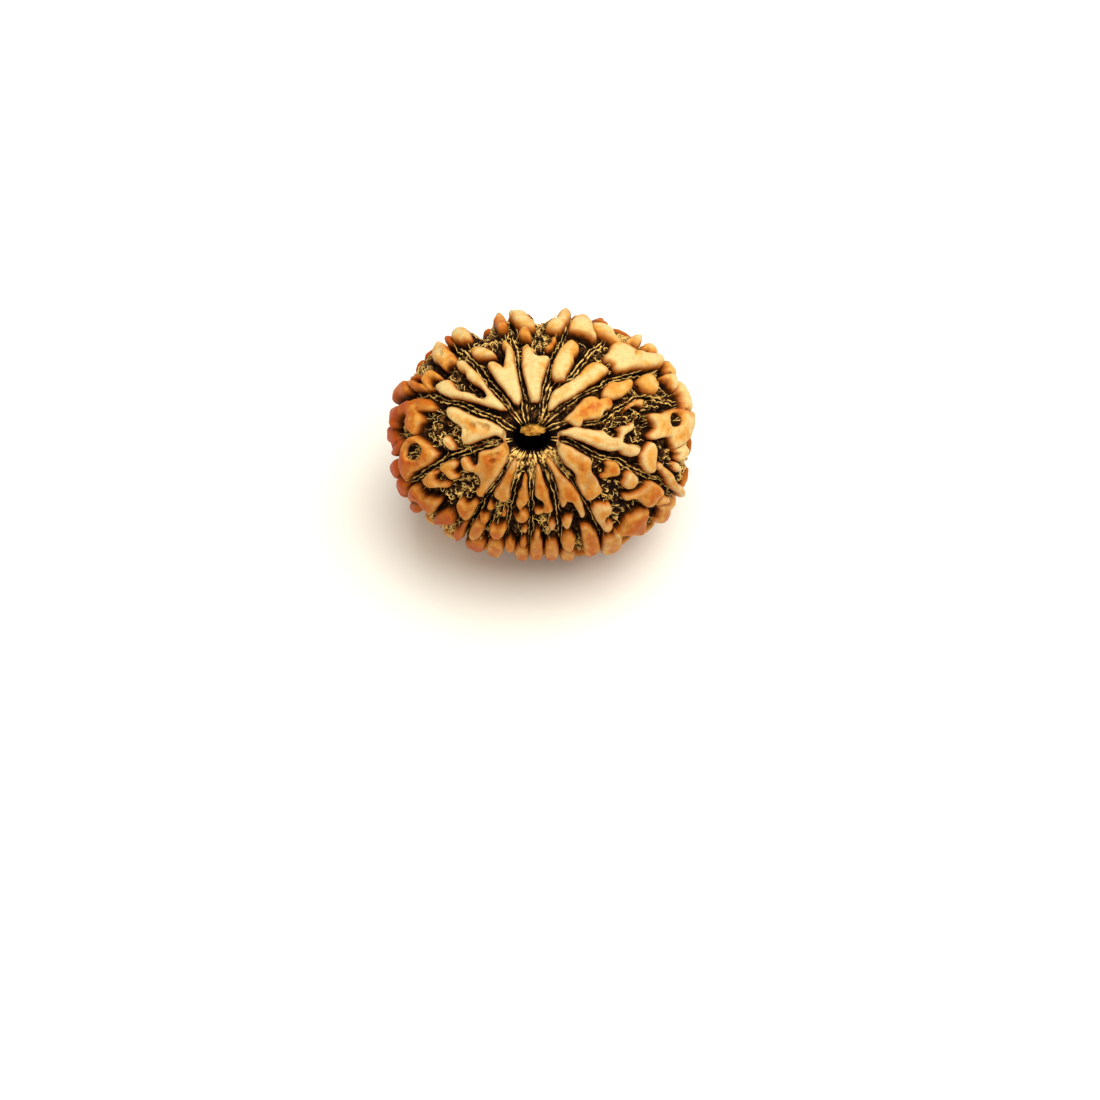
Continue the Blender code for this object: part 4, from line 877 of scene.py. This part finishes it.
def seam_threads():
    """Threads of both ridges of every seam."""
    chance = np.random.RandomState(7)
    threads = []
    for number, (polar, angle) in enumerate(SEAM_COURSES):
        polar, angle = seam_line(polar, angle)
        start = float(mouth_polar(angle[0]))
        polar = np.maximum(polar, start) if polar[0] < start else polar
        across = ground_frame(polar, angle)[2]
        for side in (-1.0, 1.0):
            key = ground(polar, angle) + 3e-3 * side + 7e-3 * number
            apart = RIDGE_APART * (1.0 + 0.65 * bumps(key, 1.3e-3, 41))
            aside = side * apart + RIDGE_CRINKLE * bumps(key, 0.36e-3, 42)
            turned = angle + aside / np.linalg.norm(across, axis=1)
            tight = on_skin(polar, turned)[2] > 0.0
            turned = np.where(tight, angle + 0.5 * (turned - angle), turned)
            skin_point, outward, depth = on_skin(polar, turned)
            points = skin_point + outward * (RIDGE_LIFT + RIDGE_WAVE * bumps(key, 0.4e-3, 43))[:, None]
            radii = RIDGE_THREAD * (1.0 + 0.9 * bumps(key, 0.24e-3, 44) + 0.3 * bumps(key, 1.5e-3, 45))
            points = np.concatenate([over_the_lip(turned[0]), points])
            radii = np.maximum(radii, LEAST_RIDGE * RIDGE_THREAD)
            low_down = smooth((-skin_point[:, 1] - FADE_FROM) / FADE_OVER)
            radii = radii * (1.0 - FADE * low_down)
            radii = np.concatenate([np.linspace(0.3, 1.0, LIP_POINTS) * RIDGE_THREAD, radii])
            covered = np.concatenate([np.zeros(LIP_POINTS, dtype=bool), depth > ON_A_LOBE])
            first = 0
            while first < len(points) - LEAST_PIECE - 1:
                last = min(first + chance.randint(SHORTEST, LONGEST), len(points))
                hidden = np.flatnonzero(covered[first:last])
                last = first + hidden[0] if len(hidden) else last
                if last - first > LEAST_PIECE:
                    share = np.linspace(0.0, 1.0, last - first)
                    taper = np.minimum(1.0, 0.2 + 6.0 * np.minimum(share, 1.0 - share))
                    threads.append((points[first:last], radii[first:last] * taper))
                first = last + 1 if len(hidden) else last - 1 + chance.randint(0, 4)
    return threads


seam_ridges = make_threads("seam_ridges", seam_threads())

# %% [markdown]
# ## Strands round the mouth
# At the mouth the walls of all the faces come together and run down into the bore. What shows of them is a
# fringe of short strands: brown and sparse above the bore, pale, granular and crowded below it. Their colours
# are partly painted light: pale below, where the lip faces up into the light, and brown above, where it faces
# away.

# %% Lay the strands
MOUTH_STEP, MOUTH_REACH = 0.009, 0.13
STRAND_SWERVE, STRAND_LIFT, STRAND_WAVE, LEAST_STRAND = 0.035, 0.03e-3, 0.06e-3, 4


def mouth_strands(count, seed, low_turn, high_turn, thickness, seam_reach):
    """Strands between two turns, no further than this from a seam, that run outwards from the lip."""
    draw = np.random.RandomState(seed)
    threads = []
    for _ in range(count):
        turn = draw.uniform(low_turn, high_turn)
        offset = draw.uniform(-0.3, 1.0) * MOUTH_REACH
        steps = draw.randint(5, 15)
        polar = float(mouth_polar(turn)) + max(offset, 0.0) + MOUTH_STEP * np.arange(steps)
        swerve = np.cumsum(draw.normal(0.0, STRAND_SWERVE, steps))
        turned = turn + swerve * 0.4 / (0.4 + max(offset, 0.0) * 8.0)
        skin_point, outward, depth = on_skin(polar, turned)
        clear = (depth < ON_A_LOBE) & (seam_distance(ground(polar, turned)) < seam_reach)
        steps = steps if clear.all() else int(np.argmin(clear))
        if steps < LEAST_STRAND:
            continue
        rise = STRAND_WAVE * bumps(skin_point, 0.3e-3, seed) + STRAND_LIFT
        points = (skin_point + outward * rise[:, None])[:steps]
        if offset < 0.0:
            points = np.concatenate([over_the_lip(turned[0])[draw.randint(3, 7):], points])
        share = np.linspace(0.0, 1.0, len(points))
        knots = 1.0 + 0.6 * bumps(points, 0.22e-3, seed + 1)
        taper = np.minimum(1.0, 0.25 + 4.0 * np.minimum(share, 1.0 - share))
        threads.append((points, thickness * draw.uniform(0.7, 1.2) * knots * taper))
    return threads


# Pale strands below the bore, partly a painted highlight; brown ones all round it, partly painted shade.
pale_mouth = make_threads("pale_mouth_strands", mouth_strands(215, 71, -pi, -0.5, 0.056e-3, 0.46e-3))
brown_mouth = make_threads("brown_mouth_strands", mouth_strands(300, 72, -pi, pi, 0.056e-3, 5e-3))

# %% [markdown]
# ## Fibres of the ground
# What is left of the flesh of the fruit clings between the lobes as short curly fibres. Each is a walk over
# the ground: it starts at a random place that isn't on a lobe, bends as it goes, arches up a little and
# ends where it meets a lobe. Pale fibres stand in tufts and brown ones lie lower, which gives the ground
# its depth: the brown of the lying fibres is partly painted shade.

# %% Walk the fibres
STEP = 0.085e-3
MOST_STEPS = 17
TUFTS = 2.4e-3
SEAM_CLEAR = 0.40e-3
LEAST_POLAR, LOBE_EDGE, CLEAR_OF_LOBE, LEAST_FIBRE = 0.19, 0.08e-3, 0.01e-3, 3
TURN_AT_A_STEP, BEND_AT_A_STEP = 0.3, 0.15


def fibre_walks(count, seed, lowest, highest, lift, thickness, curl, bare):
    """Fibres that wander over the ground between two polar angles, in tufts with bare places between."""
    draw = np.random.RandomState(seed)
    threads = []
    while len(threads) < count:
        batch = 3 * count
        level = draw.uniform(np.cos(highest), np.cos(lowest), batch)
        polar, angle = np.arccos(level), draw.uniform(-pi, pi, batch)
        start = ground(polar, angle)
        tuft = bumps(start, TUFTS, 60) > bare
        near_seam = seam_distance(start) < SEAM_CLEAR
        heading = draw.uniform(-pi, pi, batch)
        bend = draw.normal(0.0, curl, batch)
        steps = draw.randint(5, MOST_STEPS, batch)
        rise = lift * draw.uniform(0.1, 1.0, batch)
        thick = thickness * draw.uniform(0.6, 1.3, batch)
        trail, depths = [], []
        for _ in range(MOST_STEPS):
            point, normal, depth = on_skin(polar, angle)
            trail.append((point, normal))
            depths.append(depth)
            _, along, across = ground_frame(polar, angle)
            heading = heading + bend + draw.normal(0.0, TURN_AT_A_STEP, batch)
            bend = bend + draw.normal(0.0, BEND_AT_A_STEP, batch)
            polar = polar + STEP * np.cos(heading) / np.linalg.norm(along, axis=1)
            angle = angle + STEP * np.sin(heading) / np.linalg.norm(across, axis=1)
            polar = np.clip(polar, LEAST_POLAR, pi - LEAST_POLAR)
        depths = np.array(depths)
        met = depths > LOBE_EDGE
        on_lobe = np.where(met.any(axis=0), met.argmax(axis=0), MOST_STEPS)
        length = np.minimum(steps, on_lobe)
        usable = np.flatnonzero(tuft & ~near_seam & (depths[0] < -CLEAR_OF_LOBE) & (length > LEAST_FIBRE))
        for number in usable[:count - len(threads)]:
            share = np.linspace(0.0, 1.0, length[number])
            arch = np.sin(pi * share) ** 0.8
            points = np.array([trail[step][0][number] for step in range(length[number])])
            outward = np.array([trail[step][1][number] for step in range(length[number])])
            lifted = points + outward * (rise[number] * arch + 0.3 * thick[number])[:, None]
            knots = 1.0 + 0.25 * np.sin(share * length[number] * 1.7 + number)
            threads.append((lifted, thick[number] * knots * (0.35 + 0.65 * arch)))
    return threads


FIBRES = 1700 if FULL else 1300
NEAR_HALF, FAR_HALF = (0.20, 1.75), (1.70, 2.92)
ARCHED, LYING = (0.38e-3, 0.046e-3, 0.40, -0.12), (0.10e-3, 0.062e-3, 0.35, -0.5)
face_fibres = make_threads("face_fibres", fibre_walks(FIBRES, 61, *NEAR_HALF, *ARCHED))
far_fibres = make_threads("far_fibres", fibre_walks(FIBRES, 62, *FAR_HALF, *ARCHED))
low_fibres = make_threads("low_fibres", fibre_walks(FIBRES, 63, *NEAR_HALF, *LYING))
low_far_fibres = make_threads("low_far_fibres", fibre_walks(FIBRES, 64, *FAR_HALF, *LYING))

# %% [markdown]
# ## The tissue left in the bore
# A yellow, crumbly clump of tissue still sticks to the upper wall of the bore, just inside the mouth. It
# starts as an icosphere, is flattened into a lens, and is then pushed in and out by noise of two sizes.

# %% Make the clump
STUB_MIDDLE = np.array([0.14e-3, 0.64e-3, -1.15e-3])
STUB_HALF = np.array([1.02e-3, 0.50e-3, 0.48e-3])
LUMPS, LUMP_SIZE, GRAINS, GRAIN_SIZE = 0.30, 0.55e-3, 0.20, 0.2e-3


def make_stub():
    """Crumbly clump of tissue on the upper wall of the bore."""
    maker = bmesh.new()
    bmesh.ops.create_icosphere(maker, subdivisions=6 if FULL else 5, radius=1.0)
    ball = np.array([vertex.co for vertex in maker.verts])
    lumps = 1.0 + LUMPS * bumps(ball * STUB_HALF, LUMP_SIZE, 51)
    lumps = lumps + GRAINS * bumps(ball * STUB_HALF, GRAIN_SIZE, 52)
    middle = STUB_MIDDLE + np.array([0.0, 0.0, outside[0, :, 2].mean()])
    placed = lay_down(ball * lumps[:, None] * STUB_HALF + middle)
    for vertex, place in zip(maker.verts, placed):
        vertex.co = place
    bmesh.ops.recalc_face_normals(maker, faces=maker.faces)
    mesh = bpy.data.meshes.new("fibre_stub")
    maker.to_mesh(mesh)
    maker.free()
    return add_object("fibre_stub", mesh)


fibre_stub = make_stub()
print("clump of", len(fibre_stub.data.polygons), "faces")

# %% [markdown]
# ## Finishes
# All finishes are made by nodes, so the small class below lets a node's socket stand in a Python sum: an
# expression on two sockets adds the Math node for it. Any other node is added by one method.

# %% Sockets in Python sums
class Shade:
    """A node socket that can stand in a Python expression."""

    def __init__(self, tree, socket):
        self.tree, self.socket = tree, socket

    def feed(self, made, place, value):
        """Link a shade, or set a plain value, at one socket of a node."""
        if isinstance(value, Shade):
            self.tree.links.new(value.socket, made.inputs[place])
        else:
            made.inputs[place].default_value = value

    def node(self, kind, settings, values, output=0):
        """Add a node: its settings first, then the values or links of its sockets."""
        made = self.tree.nodes.new(kind)
        for name, value in settings.items():
            setattr(made, name, value)
        for place, value in values.items():
            self.feed(made, place, value)
        return Shade(self.tree, made.outputs[output])

    def sum(self, operation, first, second):
        return self.node("ShaderNodeMath", {"operation": operation}, {0: first, 1: second})

    def __add__(self, other):
        return self.sum("ADD", self, other)

    def __radd__(self, other):
        return self.sum("ADD", other, self)

    def __sub__(self, other):
        return self.sum("SUBTRACT", self, other)

    def __rsub__(self, other):
        return self.sum("SUBTRACT", other, self)

    def __mul__(self, other):
        return self.sum("MULTIPLY", self, other)

    def __rmul__(self, other):
        return self.sum("MULTIPLY", other, self)

    def between(self, low, high):
        """Soft step that is 0 below one value and 1 above another."""
        return self.node("ShaderNodeMapRange", {"interpolation_type": "SMOOTHSTEP"},
                         {"Value": self, "From Min": low, "From Max": high})

    def mix(self, first, second):
        """Colour that goes from one to another as this mask goes from 0 to 1."""
        return self.node("ShaderNodeMix", {"data_type": "RGBA"}, {0: self, 6: first, 7: second}, 2)


def start_finish(name, roughness):
    """A new material: its shader node and a shade for the place on the piece."""
    finish = bpy.data.materials.new(name)
    finish.use_nodes = True
    tree = finish.node_tree
    shader = tree.nodes["Principled BSDF"]
    shader.inputs["Roughness"].default_value = roughness
    place = tree.nodes.new("ShaderNodeTexCoord").outputs["Object"]
    return finish, shader, Shade(tree, place)


def mottle(place, size, detail=3.0):
    """Cloudy noise from 0 to 1 whose clouds are about this many millimetres wide."""
    return place.node("ShaderNodeTexNoise", {}, {"Vector": place, "Scale": 1000.0 / size, "Detail": detail})


# %% [markdown]
# ## Finish of the husk
# On the real seed the lobes are smooth and satin. Here each is dark at the foot, which is painted shade,
# golden brown on the flank and paler on the plateau, which is partly its own colour and partly painted shade
# and a painted highlight, with soft clouds of lighter and redder brown. The lowest ones are browner with
# painted shade, and those at the left rim browner and redder, partly with a painted red reflection. The crust
# between them is almost black, with painted shade in its pits and a painted highlight on its highest folds.
# The depth inside a lobe was kept at every point of the mesh, so the colours follow the lobes exactly.

# %% Colour the husk
# Crust colours: the crust's own near-black and dark brown; the black also stands as painted shade in the
# crust's low places, and the pale one is a painted highlight on its highest folds.
CRUST_BLACK, CRUST_BROWN = (0.006, 0.0025, 0.001, 1), (0.030, 0.010, 0.0024, 1)
CRUST_PALE = (0.20, 0.085, 0.020, 1)
# Lobe colours: the foot colour is painted shade where a lobe meets the crust; the flank brown is partly the
# lobes' own colour and partly painted shade, and it also darkens the lower front as painted shade.
PAINTED_FOOT_SHADE, FLANK_AND_SHADE_BROWN = (0.040, 0.010, 0.002, 1), (0.27, 0.066, 0.006, 1)
RUSSET_SKIN, ORANGE_SKIN = (0.44, 0.062, 0.005, 1), (0.54, 0.130, 0.008, 1)
GOLDEN_SKIN, CREAM_SKIN = (0.70, 0.33, 0.055, 1), (0.74, 0.55, 0.22, 1)


def trait(place, name):
    """One of the values kept at the husk's points."""
    return place.node("ShaderNodeAttribute", {"attribute_name": name}, {}, 2)


def husk_finish():
    """Satin lobes over a dark crust."""
    finish, shader, place = start_finish("seed_husk_lobes", 0.45)
    shader.inputs["Specular IOR Level"].default_value = 0.06
    shader.inputs["Coat Roughness"].default_value = 0.38
    grain = mottle(place, 0.30, 4.0)
    depth = trait(place, "lobe_depth") + 0.06 * (grain - 0.5)
    on_lobe, on_flank = depth.between(0.0, 0.06), depth.between(0.04, 0.15)
    on_top = depth.between(0.08, 0.30)
    crest = trait(place, "crest") + 1.2 * (grain - 0.5)
    seam = trait(place, "seam_distance")
    # The crust is dark brown on its folds and black in its low places, which is painted shade, and pale on
    # its highest folds, which is a painted highlight.
    ground = crest.between(-0.1, 1.5).mix(CRUST_BLACK, CRUST_BROWN)
    ground = (crest.between(1.25, 1.9) * 0.6).mix(ground, CRUST_PALE)
    ground = (1.0 - seam.between(0.04, 0.11)).mix(ground, CRUST_BLACK)
    tone = trait(place, "lobe_tone") + 0.75 * (mottle(place, 2.2, 2.0) - 0.5)
    tone = tone + 0.85 * (mottle(place, 0.7, 5.0) - 0.5)
    across = place.node("ShaderNodeSeparateXYZ", {}, {0: place})
    towards = place.node("ShaderNodeSeparateXYZ", {}, {0: place}, 1)
    front = (-1000.0 * towards).between(0.0, 5.0)
    # Painted highlights: away from the front a plateau is paler in the middle; at the front it is darker in
    # the middle, with a pale rim along its shoulder.
    tone = tone + (0.34 - 0.60 * front) * (depth.between(0.2, 0.9) - 0.5)
    tone = tone + 0.16 * front * depth.between(0.06, 0.14) * (1.0 - depth.between(0.20, 0.36))
    # Redder towards the left rim: partly the lobes' own colour, partly a painted red reflection.
    tone = tone - 0.40 * (-1000.0 * across).between(9.0, 13.0)
    # Skin from red brown to cream by tone; the cream of the upper plateaus is partly a painted highlight.
    skin = tone.between(0.0, 0.30).mix(RUSSET_SKIN, ORANGE_SKIN)
    skin = tone.between(0.30, 0.66).mix(skin, GOLDEN_SKIN)
    skin = tone.between(0.58, 0.98).mix(skin, CREAM_SKIN)
    # The flank is darker than the plateau: partly the lobes' own colour, partly painted shade on their steep
    # sides.
    flank = tone.between(0.2, 1.0).mix(FLANK_AND_SHADE_BROWN, ORANGE_SKIN)
    # Painted shade: the lower front of the seed, which faces away from the light, is mixed towards the flank
    # brown.
    below = (-1000.0 * towards).between(4.0, 9.0)
    skin = (0.36 * below).mix(skin, FLANK_AND_SHADE_BROWN)
    # Cloudy patches that darken the lower front still more, only where that painted shade lies.
    darker_patches_below = mottle(place, 1.1, 4.0).between(0.50, 0.66) * below * 0.40
    skin = darker_patches_below.mix(skin, FLANK_AND_SHADE_BROWN)
    # Painted shade at the foot of each lobe, then the flank and the plateau over the crust.
    colour = on_lobe.mix(ground, PAINTED_FOOT_SHADE)
    colour = on_flank.mix(colour, flank)
    colour = on_top.mix(colour, skin)
    specks = mottle(place, 0.20, 5.0).between(0.50, 0.72) * on_top * 0.40
    colour = specks.mix(colour, flank)
    place.feed(shader, "Base Color", colour)
    place.feed(shader, "Roughness", 0.88 - 0.40 * on_lobe + 0.12 * (grain - 0.5))
    place.feed(shader, "Coat Weight", 0.09 * on_top)
    pores = place.node("ShaderNodeBump", {}, {"Strength": 0.45, "Distance": 0.035e-3,
                                               "Height": grain + 0.5 * mottle(place, 0.12, 2.0)})
    place.feed(shader, "Normal", pores)
    return finish


# %% [markdown]
# ## Finish of the threads
# Fibres and ridges are dry, pale and a little waxy. A cloud pattern takes some of them down to brown, so
# they don't look as if they were painted in one go.

# %% Colour the threads and the clump
def thread_finish(name, dark, pale, low, high):
    """Dry tissue that varies between two colours."""
    finish, shader, place = start_finish(name, 0.55)
    shader.inputs["Specular IOR Level"].default_value = 0.12
    tone = mottle(place, 0.5, 4.0).between(low, high)
    place.feed(shader, "Base Color", tone.mix(dark, pale))
    place.feed(shader, "Roughness", 0.62 - 0.15 * tone)
    return finish


pale_threads = thread_finish("pale_fibre", (0.20, 0.065, 0.009, 1), (0.98, 0.64, 0.18, 1), 0.36, 0.52)
# The brown finish is partly painted shade: it darkens the fibres that lie low in the crust and the strands
# round the mouth.
brown_threads = thread_finish("brown_fibre", (0.012, 0.005, 0.002, 1), (0.22, 0.090, 0.022, 1), 0.44, 0.66)
ridge_threads = thread_finish("seam_ridge", (0.20, 0.060, 0.009, 1), (0.98, 0.62, 0.17, 1), 0.34, 0.54)
clump_tissue = thread_finish("bore_tissue", (0.42, 0.15, 0.016, 1), (0.88, 0.47, 0.075, 1), 0.40, 0.60)
for piece, finish in ((husk, husk_finish()), (seam_ridges, ridge_threads), (face_fibres, pale_threads),
                      (far_fibres, pale_threads), (low_fibres, brown_threads),
                      (low_far_fibres, brown_threads), (fibre_stub, clump_tissue),
                      (pale_mouth, ridge_threads), (brown_mouth, brown_threads)):
    hand_over(piece, finish)

# %% [markdown]
# ## Floor, light and camera
# The seed lies on a plain pale floor. A large soft light stands high and a little to the right, so the tops
# of the lobes shine and the gaps between them stay dark, and a weak one fills from the front left.

# %% Floor
FLOOR_HALF = 0.8
FLOOR_COLOUR = (0.96, 0.93, 0.84, 1.0)


def make_floor():
    """Wide pale floor under the seed."""
    maker = bmesh.new()
    bmesh.ops.create_grid(maker, x_segments=1, y_segments=1, size=FLOOR_HALF)
    mesh = bpy.data.meshes.new("floor")
    maker.to_mesh(mesh)
    maker.free()
    floor = add_object("floor", mesh)
    finish, shader, _ = start_finish("plain_floor", 0.9)
    shader.inputs["Base Color"].default_value = FLOOR_COLOUR
    floor.data.materials.append(finish)


make_floor()


# %% Lights
SEED_MIDDLE = (0.0, 0.0, 0.0107)
ROOM_COLOUR, ROOM_STRENGTH = (1.0, 0.93, 0.81, 1.0), 0.44


def add_light(name, place, size, power):
    """Square soft light at a place, turned to the seed."""
    lamp = bpy.data.lights.new(name, "AREA")
    lamp.size, lamp.energy = size, power
    light = bpy.data.objects.new(name, lamp)
    bpy.context.scene.collection.objects.link(light)
    light.location = place
    light.rotation_euler = (Vector(SEED_MIDDLE) - Vector(place)).to_track_quat("-Z", "Y").to_euler()


add_light("key", (0.10, 0.00, 0.41), 0.44, 2.36)
add_light("fill", (-0.10, -0.36, 0.30), 0.50, 0.38)
world = bpy.data.worlds.new("pale_room")
world.use_nodes = True
world.node_tree.nodes["Background"].inputs["Color"].default_value = ROOM_COLOUR
world.node_tree.nodes["Background"].inputs["Strength"].default_value = ROOM_STRENGTH
bpy.context.scene.world = world
bpy.context.scene.view_settings.view_transform = "Standard"

# %% [markdown]
# ## Camera
# The camera looks straight down the bore. The seed stands above and a little left of the middle of the
# picture, so the camera is turned past it rather than shifted.

# %% Camera
PICTURE, FOCAL, SENSOR = 1100.0, 2050.0, 36.0
SEED_IN_PICTURE = (541.0, 434.5)
VIEW_ELEVATION, VIEW_DISTANCE = 54.0, 0.179


def make_camera():
    """Camera that looks down the bore, turned so that the seed lies where the picture has it."""
    lens = bpy.data.cameras.new("camera")
    lens.sensor_width = SENSOR
    lens.lens = SENSOR * FOCAL / PICTURE
    lens.clip_start, lens.clip_end = 0.005, 20.0
    camera = bpy.data.objects.new("camera", lens)
    bpy.context.scene.collection.objects.link(camera)
    elevation = radians(VIEW_ELEVATION)
    away = Vector((0.0, -cos(elevation), sin(elevation))) * VIEW_DISTANCE
    aside = (PICTURE / 2 - SEED_IN_PICTURE[0]) / FOCAL
    below = (PICTURE / 2 - SEED_IN_PICTURE[1]) / FOCAL
    turn = Matrix.Rotation(pi / 2 - elevation, 4, "X")
    turn = turn @ Matrix.Rotation(-below, 4, "X") @ Matrix.Rotation(-aside, 4, "Y")
    camera.matrix_world = Matrix.Translation(Vector(SEED_MIDDLE) + away) @ turn
    bpy.context.scene.camera = camera


make_camera()
print("camera", VIEW_DISTANCE * 1000, "mm from the seed")
